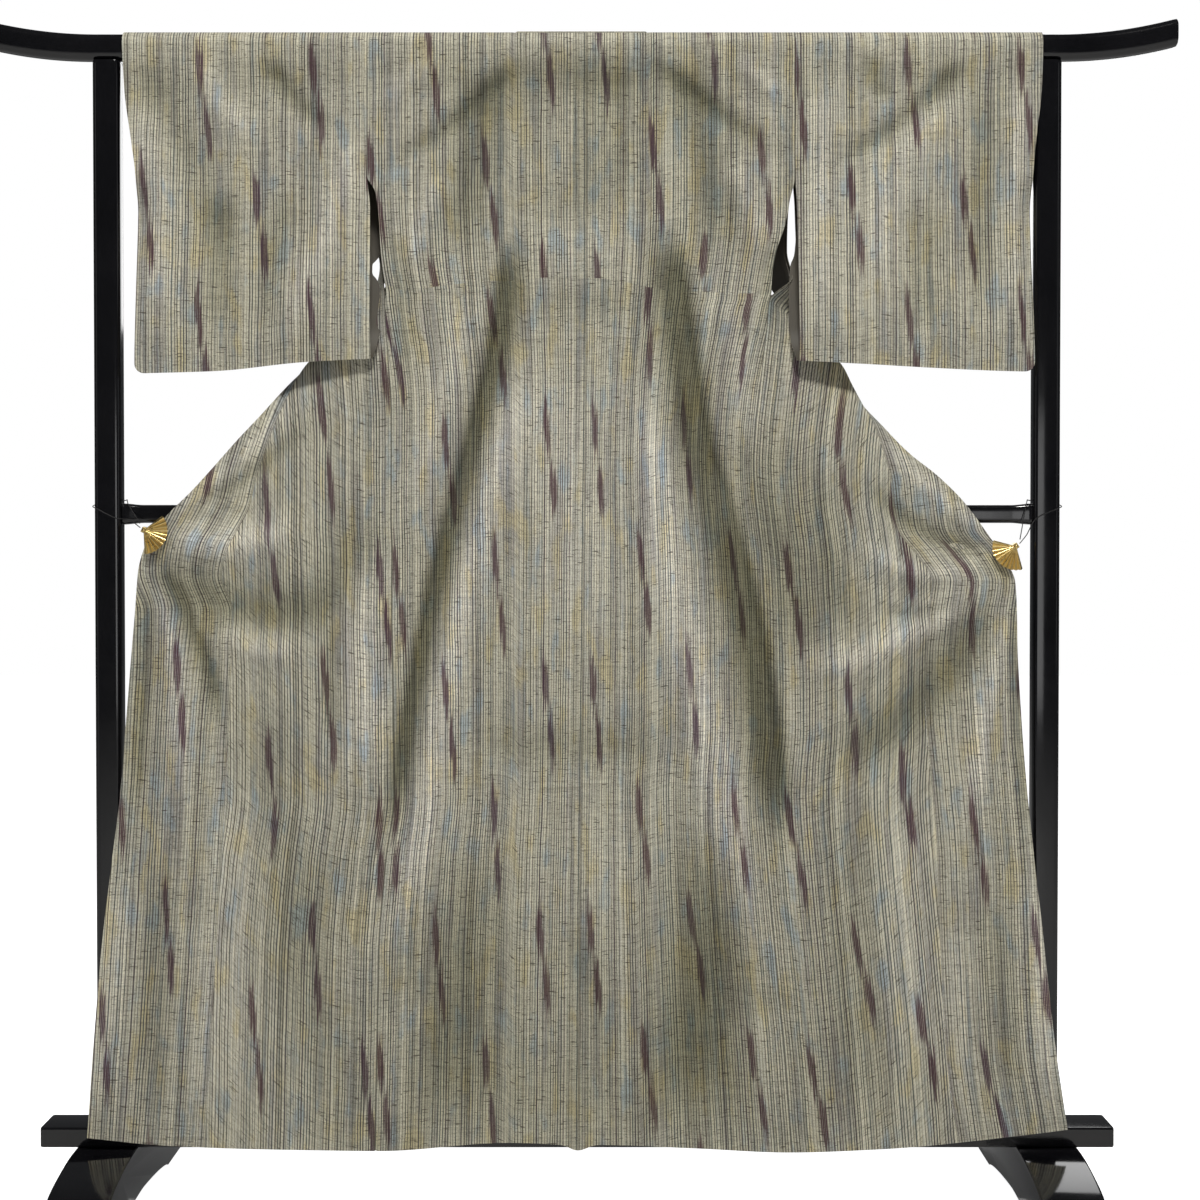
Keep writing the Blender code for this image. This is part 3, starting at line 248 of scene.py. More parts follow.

# %% [markdown]
# ## The folds
#
# Cloth that hangs from a bar and is pulled sideways falls into long soft folds.  We draw
# them one line of a table for each.  A *roll* is a rounded ridge or trough; a *groove* has
# one steep wall, on its left or its right, like a pleat that lies flat.
# Each row is: kind, path from top to bottom as (x, z) points, half width, height towards
# the camera.  Height is negative for a trough.

# %% Folds of the spread body
BODY_FOLDS = (
    # the two long grooves that part the flat middle of the back from its sides
    ("left_groove", ((-0.094, 1.420), (-0.099, 1.380), (-0.104, 1.330), (-0.118, 1.245), (-0.142, 1.150),
                     (-0.173, 1.025), (-0.202, 0.920), (-0.226, 0.800), (-0.246, 0.700),
                     (-0.262, 0.590), (-0.283, 0.490)), 0.0125, -0.021),
    ("right_groove", ((0.132, 1.430), (0.138, 1.385), (0.146, 1.330), (0.162, 1.225), (0.183, 1.100),
                      (0.212, 1.000), (0.240, 0.900), (0.266, 0.780), (0.284, 0.660), (0.300, 0.480)),
     0.0165, -0.023),
    # the ridges beside the grooves open downwards like the legs of a tent
    ("roll", ((-0.075, 1.260), (-0.115, 1.080), (-0.150, 0.930), (-0.190, 0.780), (-0.207, 0.670),
              (-0.232, 0.500), (-0.280, 0.380), (-0.370, 0.280)), 0.028, 0.018),
    ("roll", ((0.085, 1.240), (0.108, 1.080), (0.135, 0.910), (0.172, 0.750), (0.208, 0.600),
              (0.242, 0.450), (0.290, 0.335), (0.370, 0.275)), 0.030, 0.019),
    # the middle of the back: a bulge at the tuck, and a hollow between the legs of the tent
    ("roll", ((-0.085, 1.385), (0.010, 1.395), (0.115, 1.380)), 0.040, 0.004),
    ("roll", ((-0.085, 1.290), (0.010, 1.300), (0.120, 1.285)), 0.030, -0.005),
    ("roll", ((-0.040, 1.230), (-0.020, 1.050), (0.000, 0.850), (0.010, 0.750)), 0.070, 0.007),
    ("roll", ((-0.170, 0.690), (-0.070, 0.665), (0.070, 0.665), (0.170, 0.680)), 0.036, -0.007),
    ("roll", ((-0.140, 0.560), (-0.160, 0.400), (-0.185, 0.220), (-0.200, 0.090)), 0.050, -0.006),
    ("roll", ((0.180, 0.580), (0.198, 0.430), (0.172, 0.270), (0.140, 0.090)), 0.058, -0.010),
    ("roll", ((0.045, 0.600), (0.055, 0.400), (0.075, 0.220), (0.078, 0.090)), 0.044, 0.005),
    ("roll", ((-0.060, 0.560), (-0.055, 0.380), (-0.045, 0.090)), 0.040, 0.003),
    ("roll", ((-0.020, 0.420), (0.030, 0.300), (0.060, 0.190)), 0.022, -0.004),
    # wide shallow hollows under the bar, in the small of the back and above the hem; their depth also darkens
    # the colour there, as painted shade
    ("roll", ((-0.400, 1.625), (0.000, 1.632), (0.400, 1.625)), 0.042, -0.005),
    ("roll", ((-0.030, 1.690), (0.000, 1.520), (0.005, 1.330)), 0.100, -0.007),
    ("roll", ((-0.420, 0.330), (0.000, 0.350), (0.520, 0.330)), 0.130, -0.005),
    ("roll", ((-0.520, 0.150), (0.000, 0.170), (0.620, 0.150)), 0.110, -0.007),
    # the sides of the back, outside the grooves
    ("roll", ((-0.150, 1.330), (-0.185, 1.200), (-0.225, 1.060), (-0.262, 0.940)), 0.026, 0.008),
    ("roll", ((-0.300, 0.960), (-0.308, 0.820), (-0.303, 0.700), (-0.310, 0.570)), 0.034, 0.012),
    ("roll", ((-0.352, 0.850), (-0.358, 0.740), (-0.352, 0.640)), 0.013, -0.008),
    ("roll", ((0.200, 1.340), (0.232, 1.220), (0.265, 1.080), (0.285, 0.980)), 0.024, 0.007),
    ("roll", ((0.250, 1.170), (0.285, 1.000), (0.318, 0.860), (0.345, 0.700)), 0.050, -0.011),
    ("roll", ((0.345, 1.080), (0.360, 0.960), (0.385, 0.860), (0.425, 0.800)), 0.024, -0.007),
    # shoulders: folds that run from the neck down towards the arms
    ("roll", ((-0.070, 1.668), (-0.150, 1.590), (-0.215, 1.535), (-0.300, 1.490)), 0.016, -0.008),
    ("roll", ((-0.105, 1.640), (-0.140, 1.560), (-0.160, 1.470), (-0.190, 1.330)), 0.038, -0.010),
    ("roll", ((-0.190, 1.500), (-0.225, 1.410), (-0.250, 1.330)), 0.020, 0.009),
    ("roll", ((-0.200, 1.665), (-0.250, 1.620), (-0.292, 1.570)), 0.018, 0.007),
    ("roll", ((-0.270, 1.420), (-0.255, 1.330), (-0.250, 1.240), (-0.262, 1.150)), 0.015, -0.007),
    ("roll", ((0.095, 1.668), (0.165, 1.610), (0.235, 1.555), (0.312, 1.495)), 0.016, -0.009),
    ("roll", ((0.130, 1.640), (0.175, 1.560), (0.200, 1.460), (0.215, 1.330)), 0.038, -0.010),
    ("roll", ((0.215, 1.520), (0.250, 1.430), (0.275, 1.350)), 0.020, 0.010),
    ("roll", ((0.225, 1.668), (0.265, 1.625), (0.303, 1.585)), 0.014, 0.007),
    ("roll", ((0.285, 1.400), (0.275, 1.320), (0.285, 1.240)), 0.014, -0.007),
    ("roll", ((-0.030, 1.668), (-0.022, 1.560), (-0.028, 1.420)), 0.022, 0.004),
    ("roll", ((0.060, 1.668), (0.066, 1.560), (0.060, 1.430)), 0.022, -0.004),
    # left front: swags that hang from the clip, and lines that run down from it
    ("roll", ((-0.612, 0.958), (-0.560, 0.900), (-0.470, 0.862), (-0.390, 0.862), (-0.330, 0.920),
              (-0.312, 1.060)), 0.040, -0.012),
    ("roll", ((-0.600, 0.975), (-0.530, 0.955), (-0.450, 0.965), (-0.390, 1.010)), 0.026, 0.013),
    ("roll", ((-0.607, 0.985), (-0.520, 1.050), (-0.440, 1.130), (-0.380, 1.200)), 0.016, 0.008),
    ("roll", ((-0.560, 1.010), (-0.490, 1.045), (-0.420, 1.100), (-0.370, 1.160)), 0.015, -0.007),
    ("roll", ((-0.520, 0.835), (-0.440, 0.805), (-0.380, 0.805)), 0.020, 0.009),
    ("roll", ((-0.610, 0.945), (-0.565, 0.850), (-0.525, 0.750), (-0.512, 0.660)), 0.014, -0.014),
    ("roll", ((-0.608, 0.930), (-0.582, 0.820), (-0.572, 0.680), (-0.575, 0.540)), 0.020, 0.013),
    ("roll", ((-0.618, 0.935), (-0.622, 0.800), (-0.632, 0.650), (-0.645, 0.500)), 0.013, -0.011),
    ("roll", ((-0.430, 0.780), (-0.440, 0.640), (-0.425, 0.430), (-0.440, 0.200)), 0.044, -0.006),
    ("roll", ((-0.350, 0.560), (-0.385, 0.400), (-0.372, 0.150)), 0.040, -0.005),
    ("roll", ((-0.490, 0.640), (-0.488, 0.450), (-0.495, 0.120)), 0.036, 0.006),
    # right front: the swag from the clip, and what hangs below it
    ("roll", ((0.300, 0.790), (0.370, 0.785), (0.450, 0.815), (0.540, 0.865), (0.612, 0.925)), 0.026, 0.012),
    ("roll", ((0.618, 0.905), (0.565, 0.815), (0.500, 0.735), (0.420, 0.670), (0.310, 0.625)), 0.040, -0.013),
    ("roll", ((0.610, 0.955), (0.540, 1.010), (0.470, 1.075), (0.405, 1.150)), 0.016, 0.009),
    ("roll", ((0.600, 0.940), (0.520, 0.965), (0.450, 1.010), (0.400, 1.070)), 0.016, -0.010),
    ("roll", ((0.590, 0.925), (0.510, 0.915), (0.440, 0.935), (0.395, 0.980)), 0.018, 0.009),
    ("roll", ((0.560, 0.880), (0.490, 0.855), (0.420, 0.860)), 0.012, -0.007),
    ("roll", ((0.622, 0.900), (0.600, 0.790), (0.580, 0.660), (0.560, 0.500)), 0.020, 0.013),
    ("roll", ((0.627, 0.895), (0.638, 0.760), (0.645, 0.620), (0.655, 0.480)), 0.012, -0.009),
    ("roll", ((0.480, 0.620), (0.472, 0.430), (0.490, 0.150)), 0.040, 0.007),
    ("roll", ((0.400, 0.620), (0.400, 0.400), (0.425, 0.100)), 0.044, -0.005),
    # skirts
    ("roll", ((-0.235, 0.330), (-0.265, 0.220), (-0.275, 0.090)), 0.034, 0.005),
    ("roll", ((0.260, 0.300), (0.285, 0.200), (0.300, 0.090)), 0.032, 0.005),
    ("roll", ((-0.645, 0.500), (-0.668, 0.330), (-0.684, 0.090)), 0.026, 0.007),
    ("roll", ((-0.600, 0.520), (-0.612, 0.300), (-0.617, 0.090)), 0.026, -0.007),
    ("roll", ((-0.545, 0.450), (-0.545, 0.260), (-0.552, 0.090)), 0.028, 0.004),
    ("roll", ((0.648, 0.500), (0.668, 0.330), (0.684, 0.090)), 0.024, 0.008),
    ("roll", ((0.596, 0.480), (0.612, 0.280), (0.626, 0.090)), 0.026, -0.007),
    ("roll", ((0.540, 0.420), (0.550, 0.250), (0.562, 0.090)), 0.028, 0.005),
)
print("folds of the body:", len(BODY_FOLDS))

# %% Folds of the sleeves
SLEEVE_FOLDS = (
    # a shallow hollow under the bar, whose depth also darkens the colour there, as painted shade
    ("roll", ((-0.760, 1.630), (-0.480, 1.622), (-0.200, 1.630)), 0.038, -0.004),
    ("roll", ((0.200, 1.630), (0.480, 1.622), (0.780, 1.630)), 0.038, -0.004),
    # left sleeve
    ("roll", ((-0.640, 1.665), (-0.590, 1.570), (-0.540, 1.480), (-0.500, 1.330)), 0.030, -0.007),
    ("roll", ((-0.630, 1.600), (-0.615, 1.450), (-0.610, 1.230)), 0.026, 0.011),
    ("roll", ((-0.555, 1.668), (-0.520, 1.600), (-0.450, 1.520)), 0.020, 0.008),
    ("roll", ((-0.455, 1.668), (-0.410, 1.600), (-0.345, 1.540)), 0.016, -0.009),
    ("roll", ((-0.520, 1.480), (-0.515, 1.360), (-0.520, 1.220)), 0.030, -0.009),
    ("roll", ((-0.315, 1.560), (-0.350, 1.430), (-0.400, 1.300), (-0.420, 1.220)), 0.024, 0.010),
    ("roll", ((-0.400, 1.480), (-0.440, 1.360), (-0.455, 1.230)), 0.022, -0.008),
    # right sleeve
    ("roll", ((0.570, 1.668), (0.510, 1.600), (0.440, 1.545), (0.350, 1.490)), 0.018, -0.010),
    ("roll", ((0.560, 1.610), (0.490, 1.540), (0.445, 1.440), (0.430, 1.280)), 0.032, 0.007),
    ("roll", ((0.420, 1.670), (0.430, 1.625), (0.450, 1.585)), 0.013, -0.007),
    ("roll", ((0.370, 1.668), (0.355, 1.560), (0.350, 1.400), (0.360, 1.220)), 0.024, 0.009),
    ("roll", ((0.500, 1.470), (0.500, 1.360), (0.495, 1.220)), 0.030, -0.008),
    ("roll", ((0.590, 1.640), (0.585, 1.460), (0.575, 1.240)), 0.024, -0.009),
    ("roll", ((0.640, 1.650), (0.632, 1.460), (0.630, 1.230)), 0.020, 0.009),
)
print("folds of the sleeves:", len(SLEEVE_FOLDS))

# %% [markdown]
# ## Drawing with arrays
#
# A panel of cloth is a grid of points: rows run across it, and columns run down it.  We
# work the whole grid out at once with numpy.  A smooth curve through the table's levels
# uses cubic pieces that never overshoot, so that a straight seam stays straight.

# %% Curves through tables


def pass_through(knots, values, wanted):
    """Monotone cubic curve through values at knots, read at wanted.

    The slope at a knot is the harmonic mean of its neighbours' slopes, weighted by their
    lengths, and zero where they differ in sign.  values may have any number of columns.
    """
    knots = np.asarray(knots, float)
    values = np.asarray(values, float)
    flat = values.reshape(len(knots), -1)
    step = np.diff(knots)[:, None]
    slope = np.diff(flat, axis=0) / step
    tangent = np.empty_like(flat)
    tangent[0], tangent[-1] = slope[0], slope[-1]
    before, after = slope[:-1], slope[1:]
    heavy_before = 2 * step[1:] + step[:-1]
    heavy_after = step[1:] + 2 * step[:-1]
    same = before * after > 0
    low = heavy_before * after + heavy_after * before
    product = (heavy_before + heavy_after) * before * after
    tangent[1:-1] = np.where(same, product / np.where(same, low, 1.0), 0.0)
    wanted = np.asarray(wanted, float)
    spot = np.clip(np.searchsorted(knots, wanted.ravel(), side="right") - 1, 0, len(knots) - 2)
    length = step[spot]
    t = np.clip((wanted.ravel() - knots[spot])[:, None] / length, 0.0, 1.0)
    result = ((2 * t**3 - 3 * t**2 + 1) * flat[spot] + (t**3 - 2 * t**2 + t) * length * tangent[spot]
              + (3 * t**2 - 2 * t**3) * flat[spot + 1] + (t**3 - t**2) * length * tangent[spot + 1])
    return result.reshape(wanted.shape + values.shape[1:])


def read_table(table, wanted, column=1):
    """Smooth reading of a table whose first column is the place."""
    rows = sorted(table)
    return pass_through([row[0] for row in rows], [row[column] for row in rows], wanted)


def ease(value):
    """Smooth step: 0 below zero, 1 above one, three t squared less two t cubed between."""
    t = np.clip(value, 0.0, 1.0)
    return t * t * (3 - 2 * t)


def unit(vectors):
    """Vectors scaled to length one."""
    return vectors / np.maximum(np.linalg.norm(vectors, axis=-1, keepdims=True), 1e-12)


def grid_normals(grid):
    """Normals of a grid: the cross product of its direction across and its direction down."""
    return unit(np.cross(np.gradient(grid, axis=1), np.gradient(grid, axis=0)))


print("halfway down the centre seam x =", float(read_table(CENTRE_SEAM, 0.88)))

# %% [markdown]
# The fold field adds up the table's rows at every point of a panel.

# %% The fold field


DEEPEST = 0.024                      # the deepest trough
SOFTNESS = 0.002                     # how gently troughs are held to that depth
RAIL_HEIGHT = 1.013                  # troughs are shallower here, just above the rail's centre
RAIL_SPREAD = 0.07                   # how far up and down that reaches
RAIL_ROOM = 0.008                    # how much shallower they are
REAR_FACE = 0.012                    # the near face of the cloth lies in front of this y


def fold_field(folds, x, z, end_fade=0.22):
    """Height of all folds at x, z, towards the camera.

    A fold's path is a smooth curve cut into straight bits; at each point of the cloth we
    keep the nearest bit.  A fold adds its height times exp(-s squared), where s is the
    distance over the half width, and both its ends fade away.  A groove is wider on the
    side of the middle.  A soft maximum then keeps every trough above -DEEPEST.
    """
    height = np.zeros_like(x)
    for kind, path, half_width, rise in folds:
        points = np.array(path)
        run = np.concatenate(([0], np.cumsum(np.linalg.norm(np.diff(points, axis=0), axis=1))))
        bits = pass_through(run, points, np.linspace(0, run[-1], 15))
        wide = 2.2 * half_width if kind != "roll" else half_width
        room = 2.6 * wide
        near = ((x > bits[:, 0].min() - room) & (x < bits[:, 0].max() + room)
                & (z > bits[:, 1].min() - room) & (z < bits[:, 1].max() + room))
        if not near.any():
            continue
        spot = np.stack((x[near], z[near]), -1)[:, None]
        start, way = bits[:-1][None], np.diff(bits, axis=0)[None]
        length2 = (way**2).sum(-1)
        t = np.clip(((spot - start) * way).sum(-1) / length2, 0, 1)
        off = spot - start - t[..., None] * way
        gap2 = (off**2).sum(-1)
        nearest = gap2.argmin(axis=1)
        pick = np.arange(len(nearest))
        # a groove's outer wall is steep, and its inner wall rises half as fast
        outer = off[pick, nearest, 0] * (1 if kind == "right_groove" else -1) > 0
        width = np.where(outer, half_width, wide)
        along = (nearest + t[pick, nearest]) / (len(bits) - 1)
        ends = end_fade if kind == "roll" else 0.5 * end_fade
        fade = ease(along / ends) * ease((1 - along) / (1.6 * ends))
        height[near] += rise * fade * np.exp(-gap2[pick, nearest] / width**2)
    floor = DEEPEST - RAIL_ROOM * np.exp(-((z - RAIL_HEIGHT) / RAIL_SPREAD) ** 2)
    return SOFTNESS * np.logaddexp(height / SOFTNESS, -floor / SOFTNESS)


trial = fold_field(BODY_FOLDS, np.linspace(-0.6, 0.6, 7), np.full(7, 0.9))
print("fold heights across the skirt, mm:", np.round(trial * 1000, 1))

# %% [markdown]
# ## From a grid to a shell of cloth
#
# Real cloth has two sides.  Each shell gets two skins, half a thickness out from the grid,
# and a rim that closes its edges.  The right side carries the patterned silk, and the wrong
# side carries the lining.  A UV map holds each point's place on the flat cloth in metres, so
# that the weave follows the cloth wherever it bends.  A mask leaves out cells that were cut
# away, such as the front's part of the neck hole.

# %% Shells


def build_mesh(name, points, quads, uv=None, slots=(), slot_of_face=None, sharp=50.0):
    """Mesh from whole arrays: points (n, 3), quads (m, 4), uv for each point."""
    used, quads = np.unique(quads, return_inverse=True)
    quads = quads.reshape(-1, 4)
    mesh = bpy.data.meshes.new(name)
    mesh.vertices.add(len(used))
    mesh.vertices.foreach_set("co", np.ascontiguousarray(points[used], np.float32).ravel())
    mesh.loops.add(quads.size)
    mesh.loops.foreach_set("vertex_index", quads.ravel().astype(np.int32))
    mesh.polygons.add(len(quads))
    mesh.polygons.foreach_set("loop_start", np.arange(0, quads.size, 4, dtype=np.int32))
    if slot_of_face is not None:
        mesh.polygons.foreach_set("material_index", slot_of_face.astype(np.int32))
    mesh.update(calc_edges=True)
    if uv is not None:
        layer = mesh.uv_layers.new(name="cloth")
        layer.data.foreach_set("uv", uv[used][quads.ravel()].astype(np.float32).ravel())
    mesh.shade_smooth()
    mesh.set_sharp_from_angle(angle=math.radians(sharp))
    for material in slots:
        mesh.materials.append(material)
    piece = bpy.data.objects.new(name, mesh)
    bpy.context.scene.collection.objects.link(piece)
    return piece


def shell_of_cloth(name, grid, uv, materials, right_side=1, thickness=SHELL, kept=None,
                   normals=None):
    """Two skins half a thickness from the grid, and a rim round what the mask keeps.

    right_side is 1 where the grid's normals point out of the patterned side, else -1.
    """
    rows, columns = grid.shape[:2]
    if normals is None:
        normals = grid_normals(grid)
    kept = np.ones((rows - 1, columns - 1), bool) if kept is None else kept
    points = np.concatenate(((grid + normals * thickness / 2).reshape(-1, 3),
                             (grid - normals * thickness / 2).reshape(-1, 3)))
    number = np.arange(rows * columns).reshape(rows, columns)
    ring = np.stack((number[:-1, :-1], number[:-1, 1:], number[1:, 1:], number[1:, :-1]), -1)[kept]
    back_ring = ring[:, ::-1] + rows * columns
    # an edge of the rim lies where a kept cell meets a cell that isn't kept
    wide = np.pad(kept, 1)
    above, below = wide[:-1, 1:-1], wide[1:, 1:-1]
    left, right = wide[1:-1, :-1], wide[1:-1, 1:]
    across_a, across_b = number[:, :-1], number[:, 1:]
    down_a, down_b = number[:-1], number[1:]
    first = np.concatenate((across_a[below & ~above], across_b[above & ~below],
                            down_b[right & ~left], down_a[left & ~right]))
    second = np.concatenate((across_b[below & ~above], across_a[above & ~below],
                             down_a[right & ~left], down_b[left & ~right]))
    rim = np.stack((second, first, first + rows * columns, second + rows * columns), -1)
    quads = np.concatenate((ring, back_ring, rim))
    plus, minus = (0, 1) if right_side > 0 else (1, 0)
    slot = np.concatenate((np.full(len(ring), plus), np.full(len(ring), minus),
                           np.zeros(len(rim), int)))
    uv = np.concatenate((uv.reshape(-1, 2), uv.reshape(-1, 2)))
    piece = build_mesh(name, points, quads, uv, materials, slot)
    print(f"{name}: {rows} x {columns} points, {2 * len(quads)} triangles")
    return piece


def mark_hollows(piece, folds):
    """Keep the height of the folds, in centimetres, at each vertex on the camera's side; the silk turns it
    into painted shade and a painted highlight.
    """
    mesh = piece.data
    spots = np.empty(len(mesh.vertices) * 3)
    mesh.vertices.foreach_get("co", spots)
    spots = spots.reshape(-1, 3)
    height = fold_field(folds, spots[:, 0], spots[:, 2]) * (spots[:, 1] < REAR_FACE) * 100
    mesh.attributes.new("fold", "FLOAT", "POINT").data.foreach_set("value", height)


def length_down(grid):
    """Distance of each grid point from its column's first point, along the cloth."""
    return np.concatenate((np.zeros((1, grid.shape[1])),
                           np.cumsum(np.linalg.norm(np.diff(grid, axis=0), axis=-1), axis=0)))


# %% [markdown]
# ## Shader building blocks
#
# The silk is woven from uneven hand-spun yarn.  Its look has four layers: warp stripes of
# many close colours, short dark slubs and neps along the weft, resist-dyed spindles of
# purple-brown warp, and pressed creases from being stored folded, each with a thin line of
# painted shade.  Each layer is one node group with named sockets, used by every silk
# material with its own values.

# %% Node helpers


def socket(value, tree, target):
    """Put a number, or a link from another node's output, into a socket."""
    if isinstance(value, (int, float)):
        target.default_value = value
    elif value is not None:
        tree.links.new(value, target)


def maths(tree, operation, *values, clamp=False):
    """One Math node, with its output."""
    node = tree.nodes.new("ShaderNodeMath")
    node.operation = operation
    node.use_clamp = clamp
    for value, target in zip(values, node.inputs):
        socket(value, tree, target)
    return node.outputs[0]


def place(tree, x, y, z=0.0):
    """Three numbers or links as one vector."""
    node = tree.nodes.new("ShaderNodeCombineXYZ")
    for value, target in zip((x, y, z), node.inputs):
        socket(value, tree, target)
    return node.outputs[0]


def cloudy(tree, vector, detail=2.0, roughness=0.5, scale=1.0):
    """Noise between 0 and 1 on a vector that is already scaled."""
    node = tree.nodes.new("ShaderNodeTexNoise")
    node.inputs["Scale"].default_value = scale
    node.inputs["Detail"].default_value = detail
    node.inputs["Roughness"].default_value = roughness
    tree.links.new(vector, node.inputs["Vector"])
    return node.outputs["Fac"]


def chance(tree, vector):
    """A random number between 0 and 1 for each whole-number place."""
    node = tree.nodes.new("ShaderNodeTexWhiteNoise")
    node.noise_dimensions = "3D"
    tree.links.new(vector, node.inputs["Vector"])
    return node.outputs["Value"]


def between(tree, value, low, high):
    """0 where value is at low, 1 where it is at high, smooth between."""
    node = tree.nodes.new("ShaderNodeMapRange")
    node.interpolation_type = "SMOOTHSTEP"
    socket(value, tree, node.inputs["Value"])
    node.inputs["From Min"].default_value = low
    node.inputs["From Max"].default_value = high
    return node.outputs["Result"]


def blend_colours(tree, amount, first, second, mode="MIX"):
    """Mix node for two colours, each a link or three numbers."""
    node = tree.nodes.new("ShaderNodeMix")
    node.data_type = "RGBA"
    node.blend_type = mode
    node.clamp_factor = True
    socket(amount, tree, node.inputs["Factor"])
    for value, name in ((first, "A"), (second, "B")):
        target = [s for s in node.inputs if s.name == name and s.type == "RGBA"][0]
        if isinstance(value, tuple):
            target.default_value = (*value, 1.0)
        else:
            tree.links.new(value, target)
    return [s for s in node.outputs if s.type == "RGBA"][0]


def ramp(tree, value, stops):
    """Colour ramp through (place, colour) stops."""
    node = tree.nodes.new("ShaderNodeValToRGB")
    elements = node.color_ramp.elements
    while len(elements) < len(stops):
        elements.new(0.5)
    for element, (spot, colour) in zip(elements, stops):
        element.position = spot
        element.color = (*colour, 1.0)
    tree.links.new(value, node.inputs["Fac"])
    return node.outputs["Color"]


def start_group(name, inputs, outputs):
    """Empty node group with named sockets, given as (name, kind, default)."""
    group = bpy.data.node_groups.new(name, "ShaderNodeTree")
    for label, kind, default in inputs:
        made = group.interface.new_socket(label, in_out="INPUT", socket_type="NodeSocket" + kind)
        if default is not None:
            made.default_value = default
    for label, kind in outputs:
        group.interface.new_socket(label, in_out="OUTPUT", socket_type="NodeSocket" + kind)
    source = group.nodes.new("NodeGroupInput")
    end = group.nodes.new("NodeGroupOutput")
    return group, source.outputs, end.inputs


def use_group(tree, group, **values):
    """Place a group in a tree; keywords set its sockets, with _ for a space."""
    node = tree.nodes.new("ShaderNodeGroup")
    node.node_tree = group
    for name, value in values.items():
        socket(value, tree, node.inputs[name.replace("_", " ")])
    return node.outputs


def across_and_down(tree, vector):
    """The two parts of a cloth vector: across the panel, and down along its length."""
    node = tree.nodes.new("ShaderNodeSeparateXYZ")
    tree.links.new(vector, node.inputs[0])
    return node.outputs["X"], node.outputs["Y"]


print("node helpers ready")

# %% [markdown]
# ### Warp stripes
#
# Fine stripes about four millimetres apart alternate cream and darker yarn.  Their strength
# differs from stripe to stripe, and broad bands of tan, grey-green, blue-grey and mauve
# lie over them.  The threads waver slightly, and the yarn is mottled along its length.

# %% Stripes group
STRIPE_PITCH = 0.0041

stripes, given, result = start_group(
    "warp_stripes",
    (("Cloth", "Vector", None), ("Seed", "Float", 0.0)),
    (("Color", "Color"), ("Height", "Float")))
u, v = across_and_down(stripes, given["Cloth"])
waver = cloudy(stripes, place(stripes, maths(stripes, "MULTIPLY", u, 30.0),
                              maths(stripes, "MULTIPLY", v, 14.0), given["Seed"]))
wavered = maths(stripes, "MULTIPLY_ADD", maths(stripes, "SUBTRACT", waver, 0.5), 0.0022, u)
count = maths(stripes, "DIVIDE", wavered, STRIPE_PITCH)
cell = maths(stripes, "FLOOR", count)
within = maths(stripes, "FRACT", count)
strength = chance(stripes, place(stripes, cell, given["Seed"], 1.0))
width = chance(stripes, place(stripes, cell, given["Seed"], 5.0))
spot = chance(stripes, place(stripes, cell, given["Seed"], 9.0))
centre = maths(stripes, "MULTIPLY_ADD", maths(stripes, "SUBTRACT", spot, 0.5), 0.30, 0.5)
off_centre = maths(stripes, "ABSOLUTE", maths(stripes, "SUBTRACT", within, centre))
half = maths(stripes, "MULTIPLY_ADD", width, 0.10, 0.13)
line = maths(stripes, "SUBTRACT", 1.0, between(
    stripes, maths(stripes, "DIVIDE", off_centre, half), 0.55, 1.45))
# a second family of single yarns, finer than the stripes
fine = chance(stripes, place(stripes, maths(stripes, "FLOOR", maths(stripes, "DIVIDE", wavered, 0.0013)),
                             given["Seed"], 3.0))
broken = cloudy(stripes, place(stripes, maths(stripes, "MULTIPLY", u, 260.0),
                               maths(stripes, "MULTIPLY", v, 72.0), given["Seed"]), 3.0, 0.6)
mottle = cloudy(stripes, place(stripes, maths(stripes, "MULTIPLY", u, 640.0),
                               maths(stripes, "MULTIPLY", v, 520.0), given["Seed"]), 2.0, 0.7)
bands = cloudy(stripes, place(stripes, maths(stripes, "MULTIPLY", u, 52.0),
                              maths(stripes, "MULTIPLY", v, 3.0), given["Seed"]), 3.0, 0.65)
ground = ramp(stripes, bands, (
    (0.30, (0.300, 0.318, 0.292)), (0.40, (0.440, 0.422, 0.340)), (0.47, (0.545, 0.518, 0.405)),
    (0.54, (0.490, 0.475, 0.385)), (0.61, (0.375, 0.355, 0.300)), (0.72, (0.300, 0.312, 0.292))))
patches = cloudy(stripes, place(stripes, maths(stripes, "MULTIPLY", u, 34.0),
                                maths(stripes, "MULTIPLY", v, 11.0),
                                maths(stripes, "ADD", given["Seed"], 7.0)), 2.0, 0.6)
ground = blend_colours(stripes, maths(stripes, "MULTIPLY", between(stripes, patches, 0.56, 0.70), 0.60),
                       ground, (0.270, 0.350, 0.400))
ground = blend_colours(stripes, maths(stripes, "MULTIPLY", between(stripes, patches, 0.46, 0.32), 0.60),
                       ground, (0.520, 0.445, 0.240))
dark = maths(stripes, "MULTIPLY", line, maths(stripes, "MULTIPLY_ADD", strength, 0.95, 0.40))
dark = maths(stripes, "MULTIPLY", dark, maths(stripes, "MULTIPLY_ADD", broken, 1.1, 0.42), clamp=True)
tone = ramp(stripes, width, (
    (0.0, (0.040, 0.042, 0.036)), (0.4, (0.070, 0.056, 0.040)), (0.7, (0.085, 0.092, 0.085)),
    (1.0, (0.065, 0.045, 0.048))))
coloured = blend_colours(stripes, dark, ground, tone)
